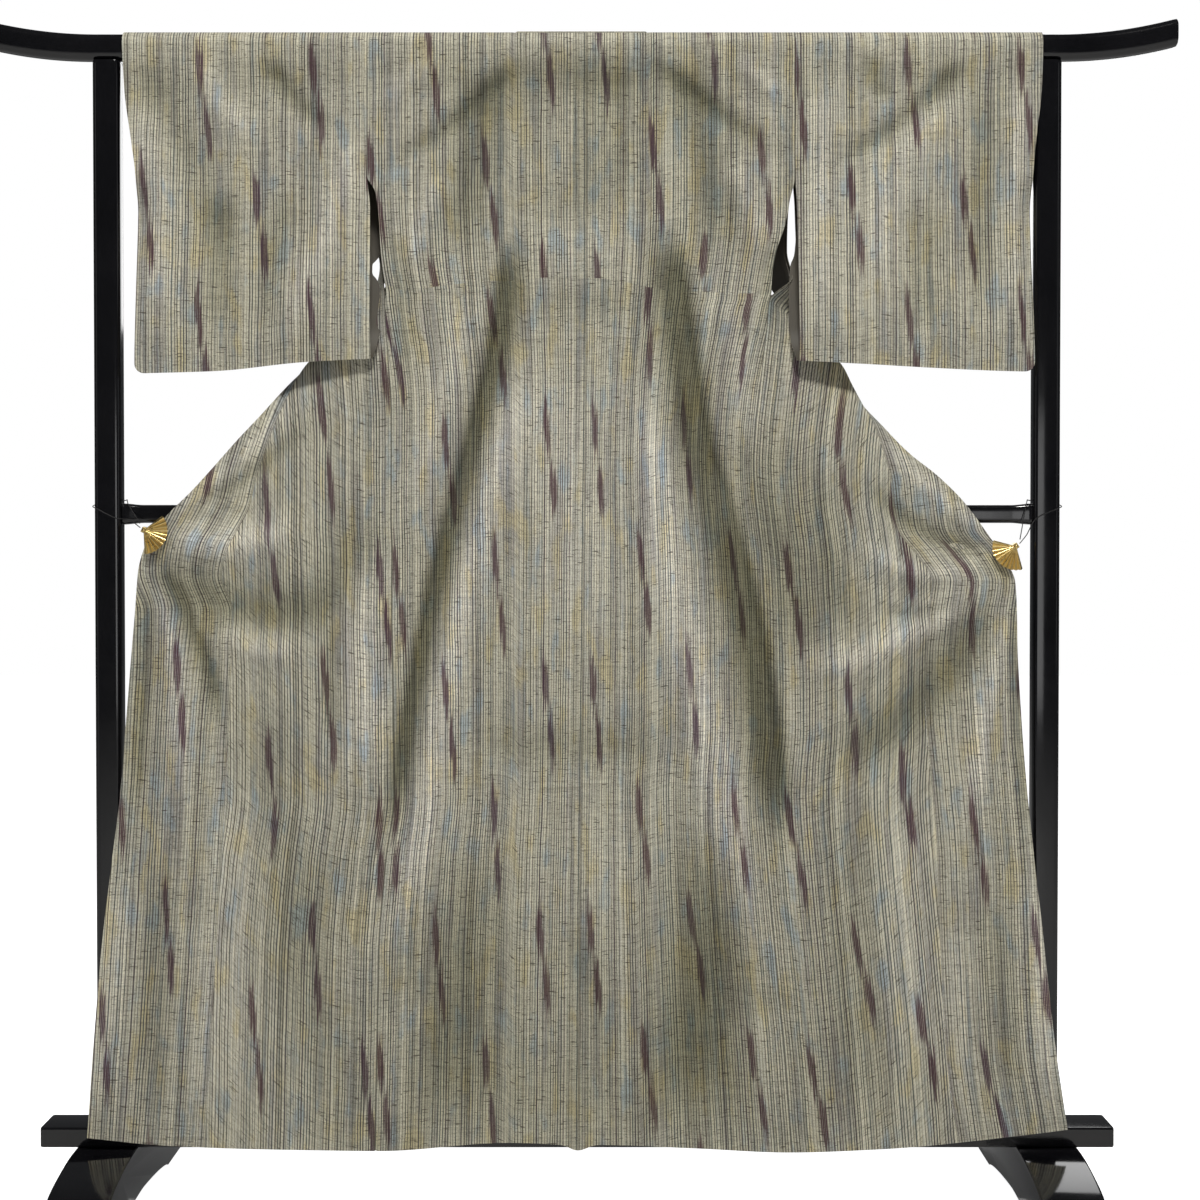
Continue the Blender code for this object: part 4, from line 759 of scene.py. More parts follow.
# the weft: each pick runs level for a few centimetres and differs a little from the next
pick_row = maths(stripes, "FLOOR", maths(stripes, "DIVIDE", v, 0.0016))
pick_run = maths(stripes, "FLOOR", maths(stripes, "MULTIPLY_ADD", chance(
    stripes, place(stripes, pick_row, given["Seed"], 4.0)), 7.0, maths(stripes, "DIVIDE", u, 0.032)))
pick = chance(stripes, place(stripes, pick_row, pick_run, given["Seed"]))
lift = maths(stripes, "MULTIPLY_ADD", fine, 0.46, maths(stripes, "MULTIPLY_ADD", mottle, 1.35, -0.06))
lift = maths(stripes, "MULTIPLY_ADD", pick, 0.26, lift)
bright = place(stripes, lift, lift, lift)
coloured = blend_colours(stripes, 1.0, coloured, bright, "MULTIPLY")
stripes.links.new(coloured, result["Color"])
stripes.links.new(maths(stripes, "MULTIPLY_ADD", fine, 0.35, maths(stripes, "MULTIPLY", mottle, 0.65)),
                  result["Height"])
print("stripe pitch:", STRIPE_PITCH * 1000, "mm")

# %% [markdown]
# ### Slubs and neps
#
# Where the weft yarn thickens it shows as a short dark dash across the cloth, half a
# centimetre to three centimetres long and one millimetre high.  Neps are tiny knots.  Both
# come from noise stretched along the weft and cut off near its peaks.

# %% Slubs group
slubs, given, result = start_group(
    "weft_slubs",
    (("Cloth", "Vector", None), ("Seed", "Float", 0.0)),
    (("Mask", "Float"), ("Height", "Float")))
u, v = across_and_down(slubs, given["Cloth"])
long_dash = cloudy(slubs, place(slubs, maths(slubs, "MULTIPLY", u, 62.0),
                                maths(slubs, "MULTIPLY", v, 420.0), given["Seed"]), 1.0, 0.4)
short_dash = cloudy(slubs, place(slubs, maths(slubs, "MULTIPLY", u, 150.0),
                                 maths(slubs, "MULTIPLY", v, 520.0),
                                 maths(slubs, "ADD", given["Seed"], 3.0)), 0.0, 0.4)
nep = cloudy(slubs, place(slubs, maths(slubs, "MULTIPLY", u, 330.0),
                          maths(slubs, "MULTIPLY", v, 330.0),
                          maths(slubs, "ADD", given["Seed"], 6.0)), 0.0, 0.4)
long_mask = maths(slubs, "MULTIPLY", between(slubs, long_dash, 0.650, 0.71), 0.95)
short_mask = maths(slubs, "MULTIPLY", between(slubs, short_dash, 0.70, 0.78), 0.70)
nep_mask = maths(slubs, "MULTIPLY", between(slubs, nep, 0.80, 0.86), 0.9)
both = maths(slubs, "MAXIMUM", maths(slubs, "MAXIMUM", long_mask, short_mask), nep_mask)
slubs.links.new(both, result["Mask"])
slubs.links.new(both, result["Height"])
print("slubs ready")

# %% [markdown]
# ### Resist-dyed spindles
#
# Bundles of warp were bound and dyed before weaving, so each bundle shows as a slanted
# spindle of purple-brown threads, one centimetre wide and eight long, with ragged ends.
# Spindles come in pairs, the lower one a little to the right.  Pairs repeat every 36 cm
# down the cloth, and each column of pairs is set half a repeat from its neighbours.

# %% Spindles group
COLUMN_PITCH = 0.081
ROW_PITCH = 0.360
SPINDLE_HALF = (0.0056, 0.042)       # half width, half length
PAIR_STEP = (0.0058, 0.0425)         # each spindle's place from the middle of its pair
SLANT = 0.085                        # sideways lean for each metre down

spindles, given, result = start_group(
    "dyed_spindles",
    (("Cloth", "Vector", None), ("Across Shift", "Float", 0.0), ("Down Shift", "Float", 0.0),
     ("Seed", "Float", 0.0)),
    (("Mask", "Float"), ("Tone", "Float")))
u, v = across_and_down(spindles, given["Cloth"])
column_count = maths(spindles, "DIVIDE", maths(spindles, "ADD", u, given["Across Shift"]), COLUMN_PITCH)
column = maths(spindles, "FLOOR", column_count)
beside = maths(spindles, "MULTIPLY", maths(spindles, "SUBTRACT", maths(
    spindles, "FRACT", column_count), 0.5), COLUMN_PITCH)
odd = maths(spindles, "MULTIPLY", maths(spindles, "FLOORED_MODULO", column, 2.0), 0.5)
jitter = maths(spindles, "MULTIPLY", chance(spindles, place(spindles, column, given["Seed"], 2.0)), 0.10)
row_count = maths(spindles, "ADD", maths(spindles, "DIVIDE", maths(
    spindles, "ADD", v, given["Down Shift"]), ROW_PITCH), maths(spindles, "ADD", odd, jitter))
row = maths(spindles, "FLOOR", row_count)
along = maths(spindles, "MULTIPLY", maths(spindles, "SUBTRACT", maths(
    spindles, "FRACT", row_count), 0.5), ROW_PITCH)
yarn = maths(spindles, "FLOOR", maths(spindles, "DIVIDE", u, 0.0010))
ragged = maths(spindles, "MULTIPLY", maths(spindles, "SUBTRACT", chance(
    spindles, place(spindles, yarn, row, given["Seed"])), 0.5), 0.034)
masks = []
for side in (-1.0, 1.0):
    off_v = maths(spindles, "ADD", maths(spindles, "SUBTRACT", along, side * PAIR_STEP[1]), ragged)
    lean = maths(spindles, "MULTIPLY", off_v, SLANT)
    off_u = maths(spindles, "SUBTRACT", maths(spindles, "SUBTRACT", beside, side * PAIR_STEP[0]), lean)
    round_u = maths(spindles, "POWER", maths(spindles, "ABSOLUTE", maths(
        spindles, "DIVIDE", off_u, SPINDLE_HALF[0])), 2.0)
    round_v = maths(spindles, "POWER", maths(spindles, "ABSOLUTE", maths(
        spindles, "DIVIDE", off_v, SPINDLE_HALF[1])), 2.0)
    masks.append(between(spindles, maths(spindles, "ADD", round_u, round_v), 1.30, 0.50))
spindle = maths(spindles, "MAXIMUM", *masks)
thread = maths(spindles, "FRACT", maths(spindles, "DIVIDE", u, 0.0024))
from_middle = maths(spindles, "ABSOLUTE", maths(spindles, "SUBTRACT", thread, 0.5))
threaded = between(spindles, from_middle, 0.10, 0.34)
speckled = cloudy(spindles, place(spindles, maths(spindles, "MULTIPLY", u, 500.0),
                                  maths(spindles, "MULTIPLY", v, 420.0), given["Seed"]), 2.0, 0.6)
depth = maths(spindles, "MULTIPLY", maths(spindles, "MULTIPLY_ADD", threaded, 0.58, 0.50),
              maths(spindles, "MULTIPLY_ADD", speckled, 0.9, 0.62), clamp=True)
spindles.links.new(maths(spindles, "MULTIPLY", spindle, depth), result["Mask"])
spindles.links.new(chance(spindles, place(spindles, column, row, given["Seed"])), result["Tone"])
print("spindle pairs every", COLUMN_PITCH, "m across and", ROW_PITCH, "m down")

# %% [markdown]
# ### Pressed creases
#
# A kimono is stored folded flat, and each fold leaves a pressed crease that runs straight
# across the panels: a faint ridge, drawn as a bump, and a thin dark line along it, which is
# painted shade.  One level, in metres down the cloth, is one crease.

# %% Crease group
creases, given, result = start_group(
    "pressed_crease",
    (("Cloth", "Vector", None), ("Level", "Float", 0.5), ("Seed", "Float", 0.0)),
    (("Line", "Float"), ("Height", "Float")))
u, v = across_and_down(creases, given["Cloth"])
drift = cloudy(creases, place(creases, maths(creases, "MULTIPLY", u, 9.0), given["Level"], given["Seed"]))
off = maths(creases, "ABSOLUTE", maths(creases, "SUBTRACT", maths(
    creases, "MULTIPLY_ADD", maths(creases, "SUBTRACT", drift, 0.5), 0.010, v), given["Level"]))
worn = cloudy(creases, place(creases, maths(creases, "MULTIPLY", u, 26.0), given["Level"],
                             given["Seed"]), 2.0, 0.5)
# the thin line is painted shade along the crease; the wider one lifts the bump
crease_shade_line = maths(creases, "SUBTRACT", 1.0, between(creases, off, 0.0003, 0.0019))
wide_line = maths(creases, "SUBTRACT", 1.0, between(creases, off, 0.0, 0.0060))
seen = between(creases, worn, 0.36, 0.56)
creases.links.new(maths(creases, "MULTIPLY", crease_shade_line, seen), result["Line"])
creases.links.new(maths(creases, "MULTIPLY", wide_line, seen), result["Height"])
print("creases ready")

# %% [markdown]
# ### Shade in the folds
#
# Part of the shade in the folds is painted.  Each vertex holds the height of its folds in
# centimetres, and this group turns it into a share of the colour: hollows are darkened and
# ridges lightened, on top of what the lights do.

# %% Fold shading group
HOLLOW_SHADE = 0.64                  # share of the colour that the deepest hollow loses
RIDGE_GLOW = 0.36                    # share that the highest ridge gains
shading, given, result = start_group(
    "fold_shading", (("Fold", "Float", 0.0),), (("Share", "Float"),))
deep = between(shading, given["Fold"], 0.25, -2.1)
proud = between(shading, given["Fold"], -0.1, 1.5)
lightened = maths(shading, "MULTIPLY_ADD", proud, RIDGE_GLOW, 1.0)
share = maths(shading, "MULTIPLY_ADD", deep, -HOLLOW_SHADE, lightened)
shading.links.new(share, result["Share"])
print("fold shading ready")

# %% [markdown]
# ## The silk itself
#
# Each panel was cut from the same bolt, so every panel gets the same groups, but its own
# place on the bolt: a seed for the stripes and shifts for the spindles.  A soft sheen and a
# high roughness give the dry lustre of slubbed silk.

# %% Silk materials


def silk_material(name, seed, across_shift, down_shift, levels=(), seams=()):
    """Patterned silk: stripes, then spindles, slubs and creases over them, and painted shade in the folds'
    hollows with a painted highlight on their ridges.
    """
    material = bpy.data.materials.new(name)
    material.use_nodes = True
    tree = material.node_tree
    shader = tree.nodes["Principled BSDF"]
    shader.inputs["Sheen Weight"].default_value = 0.12
    shader.inputs["Sheen Roughness"].default_value = 0.45
    shader.inputs["Specular IOR Level"].default_value = 0.32
    cloth = tree.nodes.new("ShaderNodeUVMap")
    cloth.uv_map = "cloth"
    cloth = cloth.outputs["UV"]
    warp = use_group(tree, stripes, Cloth=cloth, Seed=seed)
    weft = use_group(tree, slubs, Cloth=cloth, Seed=seed)
    dyed = use_group(tree, spindles, Cloth=cloth, Across_Shift=across_shift, Down_Shift=down_shift,
                     Seed=seed)
    purple = ramp(tree, dyed["Tone"], ((0.0, (0.056, 0.019, 0.030)), (0.5, (0.066, 0.027, 0.034)),
                                       (1.0, (0.050, 0.018, 0.038))))
    colour = blend_colours(tree, dyed["Mask"], warp["Color"], purple)
    colour = blend_colours(tree, maths(tree, "MULTIPLY", weft["Mask"], 0.80), colour,
                           (0.052, 0.040, 0.028))
    height = maths(tree, "MULTIPLY_ADD", weft["Height"], 0.5, warp["Height"])
    for level in levels:
        crease = use_group(tree, creases, Cloth=cloth, Level=level, Seed=seed)
        # painted shade: a thin dark line along each pressed crease
        colour = blend_colours(tree, maths(tree, "MULTIPLY", crease["Line"], 0.34), colour,
                               (0.100, 0.090, 0.060))
        height = maths(tree, "MULTIPLY_ADD", crease["Height"], 5.0, height)
    across = maths(tree, "ABSOLUTE", across_and_down(tree, cloth)[0])
    for seam in seams:
        off_seam = maths(tree, "ABSOLUTE", maths(tree, "SUBTRACT", across, seam))
        colour = blend_colours(tree, maths(tree, "MULTIPLY", between(tree, off_seam, 0.0017, 0.0003), 0.62),
                               colour, (0.070, 0.060, 0.042))
        height = maths(tree, "MULTIPLY_ADD", between(tree, off_seam, 0.0, 0.0040), 2.5, height)
    # painted shade in the folds' hollows and a painted highlight on their ridges, from the fold heights
    fold = tree.nodes.new("ShaderNodeAttribute")
    fold.attribute_name = "fold"
    light = use_group(tree, shading, Fold=fold.outputs["Fac"])["Share"]
    warmer = maths(tree, "POWER", light, 1.22)
    colour = blend_colours(tree, 1.0, colour, place(tree, light, light, warmer), "MULTIPLY")
    tree.links.new(colour, shader.inputs["Base Color"])
    tree.links.new(maths(tree, "MULTIPLY_ADD", warp["Height"], -0.12, 0.78), shader.inputs["Roughness"])
    bump = tree.nodes.new("ShaderNodeBump")
    bump.inputs["Distance"].default_value = 0.00022
    bump.inputs["Strength"].default_value = 0.55
    tree.links.new(height, bump.inputs["Height"])
    tree.links.new(bump.outputs["Normal"], shader.inputs["Normal"])
    return material


def lining_material():
    """Plain olive-brown silk: faint warp and weft threads and a low sheen."""
    material = bpy.data.materials.new("silk_lining")
    material.use_nodes = True
    tree = material.node_tree
    shader = tree.nodes["Principled BSDF"]
    shader.inputs["Sheen Weight"].default_value = 0.05
    cloth = tree.nodes.new("ShaderNodeUVMap")
    cloth.uv_map = "cloth"
    u_, v_ = across_and_down(tree, cloth.outputs["UV"])
    threads = cloudy(tree, place(tree, maths(tree, "MULTIPLY", u_, 900.0),
                                 maths(tree, "MULTIPLY", v_, 60.0)), 2.0, 0.6)
    soft = cloudy(tree, place(tree, maths(tree, "MULTIPLY", u_, 14.0),
                              maths(tree, "MULTIPLY", v_, 9.0)), 3.0, 0.5)
    mixed = maths(tree, "MULTIPLY_ADD", threads, 0.5, maths(tree, "MULTIPLY", soft, 0.5))
    colour = ramp(tree, mixed, ((0.25, (0.028, 0.022, 0.012)), (0.75, (0.062, 0.050, 0.029))))
    tree.links.new(colour, shader.inputs["Base Color"])
    tree.links.new(maths(tree, "MULTIPLY_ADD", threads, 0.12, 0.50), shader.inputs["Roughness"])
    bump = tree.nodes.new("ShaderNodeBump")
    bump.inputs["Distance"].default_value = 0.0001
    bump.inputs["Strength"].default_value = 0.4
    tree.links.new(threads, bump.inputs["Height"])
    tree.links.new(bump.outputs["Normal"], shader.inputs["Normal"])
    return material


silk_lining = lining_material()
silk_body_left = silk_material("silk_body_left", 1.0, 0.015, 0.290,
                               (0.579, 1.228, -1.128), (0.0, 0.310))
silk_body_right = silk_material("silk_body_right", 2.0, 0.017, 0.120,
                                (0.579, 1.222, -1.122, -0.585), (0.0, 0.310))
silk_overlap_left = silk_material("silk_overlap_left", 3.0, 0.030, 0.100, (0.790,), (0.0,))
silk_overlap_right = silk_material("silk_overlap_right", 4.0, 0.060, 0.220, (0.780,), (0.0,))
silk_sleeve_left = silk_material("silk_sleeve_left", 5.0, 0.010, 0.250)
silk_sleeve_right = silk_material("silk_sleeve_right", 6.0, 0.045, 0.060)
silk_collar = silk_material("silk_collar", 7.0, 0.020, 0.100)
print("silk materials:", len([m for m in bpy.data.materials if m.name.startswith("silk_")]))

# %% [markdown]
# ## The body panels
#
# Each side of a kimono's body is one length of cloth that runs from the back hem over the
# shoulder to the front hem, so we make it as one grid.  Its columns run from the centre-back
# seam to the armhole.  Behind the bar only the columns outside the neck go on, as the front.
# The front twists behind the sleeve and comes round to face the camera beside the back.

# %% Depth of the hanging cloth


def hang_depth(z):
    """The back comes evenly forward from the bar to the hem."""
    return -DRAPE - HANG_FALL * np.clip((HANG_TOP - z) / (HANG_TOP - HEM), 0, 1)


def over_bar(start, side, turns):
    """Quarter circle over the bar: depth and height at angles from start to a right angle."""
    angle = start + (math.pi / 2 - start) * turns
    return side * DRAPE * np.sin(angle), HANG_TOP + DRAPE * np.cos(angle)


# The back has a tuck sewn across it at the waist, which takes up 13 cm of cloth
TUCK_LINE = ((-0.300, 1.318), (-0.115, 1.336), (-0.003, 1.341), (0.055, 1.336), (0.127, 1.324),
             (0.206, 1.320), (0.310, 1.318))
TUCK_TAKES = 0.132
TUCK_LEVEL = 1.332
BAR_ROWS = 10
COLUMN_STEP = 0.0042
ROW_STEP = 0.0048
print("cloth taken up by the tuck:", TUCK_TAKES, "m")

# %% Grids of the fronts


def front_surfaces(front):
    """Curves of a front's side seam, join and free edge, from the bar to the hem.

    The table's levels are joined by smooth curves whose parameter is the mean length down
    the side and the join, so that rows are evenly spaced.  Across, the callers lay points on
    straight lines between the seams and add the folds where the cloth faces the camera.
    """
    side = np.array([row[0] for row in front])
    join = np.array([row[1] for row in front])
    edge = np.array([row[2] if row[2] else row[1] for row in front])
    middle = (side + join) / 2
    knots = np.concatenate(([0], np.cumsum(np.linalg.norm(np.diff(middle, axis=0), axis=1) + 1e-4)))
    rows = int(knots[-1] / ROW_STEP)
    wanted = np.linspace(0, knots[-1], rows)
    side, join, edge = (pass_through(knots, c, wanted) for c in (side, join, edge))
    first = int(np.searchsorted(wanted, knots[FIRST_EDGE]))
    return side, join, edge, first, wanted


def lay_folds(grid, top, soft, hem=True):
    """Add the body's folds below the height top, fading in over soft, and set the hem."""
    fade = np.clip((top - grid[..., 2]) / soft, 0, 1)
    if hem:
        low = grid[-1, :, 2]
        target = read_table(HEM_LINE, grid[-1, :, 0])
        near = ease((0.25 - grid[..., 2]) / 0.15)
        grid[..., 2] += (target - low) * near
    grid[..., 1] -= fold_field(BODY_FOLDS, grid[..., 0], grid[..., 2]) * fade
    return grid


# %% One side of the body


def body_side(word, front, armside, neck, mirror, material):
    """Back and front of one side as one shell, and the grid of its front.

    mirror is 1 on the left, -1 on the right, where the grid's normals point inwards.
    """
    side, join, edge, first, wanted = front_surfaces(front)
    middle_top = float(read_table(CENTRE_SEAM, HANG_TOP))
    reach = abs(armside[0][1] - middle_top)
    neck_share = abs(neck - middle_top) / reach
    inner = int(round(neck_share * reach / COLUMN_STEP))
    outer = int(round((1 - neck_share) * reach / COLUMN_STEP))
    share = np.concatenate((np.linspace(0, neck_share, inner + 1)[:-1],
                            np.linspace(neck_share, 1, outer + 1)))

    # the back, from the bar down; its side edge is the front's side seam
    seam = side[side[:, 2] < SEAM_TOP]
    free = np.linspace(HANG_TOP, SEAM_TOP + 0.010, int((HANG_TOP - SEAM_TOP) / ROW_STEP))
    free = np.insert(free, np.searchsorted(-free, -TUCK_LEVEL), (TUCK_LEVEL, TUCK_LEVEL - 0.0003))
    levels = np.concatenate((free, seam[:, 2]))
    border = np.concatenate((read_table(armside, free), seam[:, 0]))
    middle = read_table(CENTRE_SEAM, levels)
    x = middle[:, None] + (border - middle)[:, None] * share
    fall = ((HANG_TOP - levels) / (HANG_TOP - levels[-1]))[:, None]
    z = HANG_TOP + (read_table(HEM_LINE, x) - HANG_TOP) * fall
    near_tuck = np.exp(-((levels - TUCK_LEVEL) / 0.10) ** 2)[:, None]
    settle = ease((1.0 - share) / 0.12)[None, :]
    z += (read_table(TUCK_LINE, x) - TUCK_LEVEL) * near_tuck * settle
    z[len(free):, -1] = seam[:, 2]
    y = hang_depth(z) - fold_field(BODY_FOLDS, x, z)
    y[0] = -DRAPE
    held = ease(fall[:, 0] * (HANG_TOP - HEM) / 0.07)[:, None]
    y = -DRAPE + (y + DRAPE) * held
    step = seam[:, 1] - y[len(free):, -1] - seam_fold(seam)
    y[len(free):] += step[:, None] * share**4
    hanging = np.stack((x, y, z), -1)

    inside_neck = ease((abs(neck) - abs(x[0])) / 0.012)
    start = math.asin(NECK_DROP / DRAPE) * inside_neck
    turns = np.linspace(0, 1, BAR_ROWS + 1)[:-1, None]
    depth, height = over_bar(start[None, :], -1, turns)
    crown_back = np.stack((np.broadcast_to(x[0], depth.shape), depth, height), -1)
    back = np.concatenate((crown_back, hanging))
    back_v = length_down(back)
    tuck_row = BAR_ROWS + int(np.searchsorted(-free, -TUCK_LEVEL)) + 1
    back_v[tuck_row:] += TUCK_TAKES

    # the front, from behind the bar down; its first column is the side seam
    share_front = np.linspace(0, 1, outer + 1)[None, :, None]
    body = side[:, None] * (1 - share_front) + join[:, None] * share_front
    body = lay_folds(body, 1.16, 0.10)
    depth, height = over_bar(np.zeros((1, outer + 1)), 1, turns[1:])
    crown_front = np.stack((np.broadcast_to(body[0, :, 0], depth.shape), depth, height), -1)
    body = np.concatenate((crown_front, body))

    # one grid: front hem, bar, back hem; the front's columns are turned round to match
    turned = body[::-1, ::-1]
    filler = np.repeat(turned[:, :1], inner, axis=1)
    grid = np.concatenate((np.concatenate((filler, turned), axis=1), back))
    grid[len(turned), inner:, 1] = 0.0
    grid[len(turned), inner:, 2] = CROWN
    kept = np.ones((grid.shape[0] - 1, grid.shape[1] - 1), bool)
    kept[:len(turned), :inner] = False

    normals = grid_normals(grid)
    bar = slice(len(turned) - BAR_ROWS, len(turned) + BAR_ROWS + 1)
    radial = grid[bar] - np.array([0.0, 0.0, HANG_TOP])
    radial[..., 0] = 0.0
    normals[bar] = unit(radial) * mirror

    # places on the flat cloth: across from the centre seam, and down from the shoulder
    panel = 0.310
    front_v = length_down(body)
    u_even = panel - (panel * (1 - share[inner])) * np.linspace(0, 1, outer + 1)[None, :]
    u_world = panel - np.abs(body[..., 0] - body[:, :1, 0])
    u_front = u_even + (u_world - u_even) * ease((1.40 - body[..., 2]) / 0.12)
    uv = np.zeros(grid.shape[:2] + (2,))
    centre = read_table(CENTRE_SEAM, back[..., 2])
    u_straight = np.abs(back[..., 0] - centre) * panel / reach
    narrowed = ease((ARMHOLE - back[..., 2]) / 0.32)
    uv[len(turned):, :, 0] = (u_straight + (panel * share - u_straight) * narrowed) * -mirror
    uv[len(turned):, :, 1] = back_v
    uv[:len(turned), inner:, 0] = u_front[::-1, ::-1] * -mirror
    uv[:len(turned), inner:, 1] = -front_v[::-1, ::-1]
    piece = shell_of_cloth(f"body_{word}_cloth", grid, uv, (material, silk_lining), mirror, kept=kept,
                           normals=normals)
    mark_hollows(piece, BODY_FOLDS)
    return piece, body, (side, join, edge, first, wanted)


def seam_fold(seam):
    """Fold height that the front adds along the side seam."""
    fade = np.clip((1.16 - seam[:, 2]) / 0.10, 0, 1)
    return fold_field(BODY_FOLDS, seam[:, 0], seam[:, 2]) * fade


body_left, left_front_grid, left_lines = body_side(
    "left", LEFT_FRONT, LEFT_ARMSIDE, NECK_LEFT, 1, silk_body_left)
body_right, right_front_grid, right_lines = body_side(
    "right", RIGHT_FRONT, RIGHT_ARMSIDE, NECK_RIGHT, -1, silk_body_right)

# %% [markdown]
# ## The overlap panels
#
# The overlap panel is a half-width strip sewn to the front's edge.  The clip pulls its upper
# end outwards, so it bends at a knee: above it follows the slanting collar, and below it
# hangs straight.

# %% Overlap panels


def overlap_side(word, lines, mirror, material):
    """Grid between the join and the free edge, drawn in a little at the seam."""
    _, join, edge, first, wanted = lines
    columns = int(0.150 / COLUMN_STEP)
    share = np.linspace(0, 1, columns)[None, :, None]
    grid = join[first:, None] * (1 - share) + edge[first:, None] * share
    # the folds reach the join from the front's side, and the rest of the panel lower down
    fade_join = np.clip((1.16 - grid[..., 2]) / 0.10, 0, 1)
    fade_free = np.clip((1.12 - grid[..., 2]) / 0.12, 0, 1)
    blend = ease(share[..., 0] / 0.35)
    fade = fade_join * (1 - blend) + fade_free * blend
    target = read_table(HEM_LINE, grid[-1, :, 0])
    near = ease((0.25 - grid[..., 2]) / 0.15)
    grid[..., 2] += (target - grid[-1, :, 2]) * near
    grid[..., 1] -= fold_field(BODY_FOLDS, grid[..., 0], grid[..., 2]) * fade
    grid[:, 0] += unit(grid[:, 1] - grid[:, 0]) * SEAM_GAP
    uv = np.zeros(grid.shape[:2] + (2,))
    uv[..., 0] = np.abs(grid[..., 0] - grid[:, :1, 0]) * mirror
    uv[..., 1] = wanted[first:, None]
    piece = shell_of_cloth(f"overlap_{word}_cloth", grid, uv, (material, silk_lining), -mirror)
    mark_hollows(piece, BODY_FOLDS)
    return piece


overlap_left = overlap_side("left", left_lines, -1, silk_overlap_left)
overlap_right = overlap_side("right", right_lines, 1, silk_overlap_right)

# %% [markdown]
# ## The sleeves
#
# A sleeve is one length of cloth folded over the bar.  Its two walls are sewn together along
# the foot and up the outer edge as far as the cuff opening, and the lower outer corner is
# rounded.

# %% Sleeves


def sleeve_outline(table, foot, down, across):
    """x and z of a wall: down runs from the bar to the foot, across from the cuff inwards."""
    level = HANG_TOP + (1.204 - HANG_TOP) * down
    outer = read_table([(z, a) for z, a, _ in table], level)
    inner = read_table([(z, b) for z, _, b in table], level)
    x = outer[:, None] + (inner - outer)[:, None] * across
    z = HANG_TOP + (read_table(foot, x) - HANG_TOP) * down[:, None]
    # the corner is cut round: points beyond the quarter circle are drawn onto it
    sign = 1.0 if outer[0] < 0 else -1.0
    over_x = SLEEVE_CORNER - sign * (x - outer[-1])
    over_z = SLEEVE_CORNER - (z - read_table(foot, x))
    inside = (over_x > 0) & (over_z > 0)
    reach = np.sqrt(np.maximum(over_x, 0) ** 2 + np.maximum(over_z, 0) ** 2)
    longest = np.maximum(np.maximum(over_x, over_z), 1e-9)
    pull = np.where(inside, longest / np.maximum(reach, 1e-9), 1.0)
    x = np.where(inside, x + sign * over_x * (1 - pull), x)
    z = np.where(inside, z + over_z * (1 - pull), z)
    return x, z


# How much nearer the body the open edge of each sleeve's rear wall hangs, by height: its
# lining then shows in the slit.  The cloth cuts into the body's cloth where they meet.
LEFT_REACH = ((1.500, 0.0), (1.480, 0.004), (1.440, 0.010), (1.382, 0.013), (1.370, 0.005), (1.364, 0.0),
              (1.351, 0.0), (1.343, 0.006), (1.332, 0.011), (1.270, 0.013), (1.240, 0.008), (1.215, 0.0))
RIGHT_REACH = ((1.400, 0.0), (1.378, 0.003), (1.362, 0.009), (1.300, 0.013), (1.250, 0.012),
               (1.232, 0.007), (1.215, 0.0))


def sleeve_wall(table, foot, side_y):
    """One wall as a grid from the crown down: the middle depth, plus or minus half the room."""
    rows, columns = 105, 84
    down = np.linspace(0, 1, rows) ** 0.97
    across = np.linspace(0, 1, columns)
    across = across + 0.10 * across * (1 - across) * (across - 0.9)
    x, z = sleeve_outline(table, foot, down, across)
    if side_y > 0:
        # the rear wall's open edge hangs a little nearer the body, and shows its lining
        reach = read_table(LEFT_REACH if x[0, 0] < 0 else RIGHT_REACH, z)
        x = x - np.sign(x) * reach * np.clip((across - 0.90) / 0.10, 0, 1) ** 1.3
    middle = read_table(SLEEVE_ROOM, z)
    room = read_table(SLEEVE_ROOM, z, 2)
    shut = ease((CUFF + 0.03 - z) / 0.06)
    from_edge = np.sin(np.clip(across / 0.16, 0, 1) * math.pi / 2)[None, :]
    closed = SHELL / 2 + SEAM_GAP / 2
    room = closed + (room - closed) * (1 - shut * (1 - from_edge))
    bottom = np.sin(np.clip((1 - down) / 0.10, 0, 1) * math.pi / 2)[:, None]
    room = closed + (room - closed) * bottom
    fold = fold_field(SLEEVE_FOLDS, x if side_y < 0 else x * 1.04 + 0.011, z)
    held = ease((HANG_TOP - z) / 0.05) * ease((1 - down) / 0.12)[:, None]
    held = held * ease((1 - across) / 0.10)[None, :] * (0.3 + 0.7 * ease(across / 0.10)[None, :])
    y = middle + side_y * room - fold * held * (1.0 if side_y < 0 else -0.7)
    hanging = np.stack((x, y, z), -1)
    turns = np.linspace(0, 1, BAR_ROWS + 1)[:-1, None]
    depth, height = over_bar(np.zeros((1, columns)), side_y, turns)
    crown = np.stack((np.broadcast_to(x[0], depth.shape), depth, height), -1)
    return np.concatenate((crown, hanging))


def sleeve_side(word, table, foot, material):
    """Both walls as one shell that runs from the rear foot over the bar to the near foot."""
    near = sleeve_wall(table, foot, -1)
    rear = sleeve_wall(table, foot, 1)
    grid = np.concatenate((rear[::-1], near[1:]))
    middle_row = len(rear) - 1
    grid[:, -1] += unit(grid[:, -2] - grid[:, -1]) * SEAM_GAP
    v = length_down(grid)
    v -= v[middle_row:middle_row + 1]
    uv = np.stack((grid[..., 0], v), -1)
    normals = grid_normals(grid)
    bar = slice(middle_row - BAR_ROWS, middle_row + BAR_ROWS + 1)
    radial = grid[bar] - np.array([0.0, 0.0, HANG_TOP])
    radial[..., 0] = 0.0
    facing = np.sign((radial * normals[bar]).sum(-1).mean())
    normals[bar] = unit(radial) * facing
    piece = shell_of_cloth(f"sleeve_{word}_cloth", grid, uv, (material, silk_lining), facing,
                           normals=normals)
    mark_hollows(piece, SLEEVE_FOLDS)
    return piece


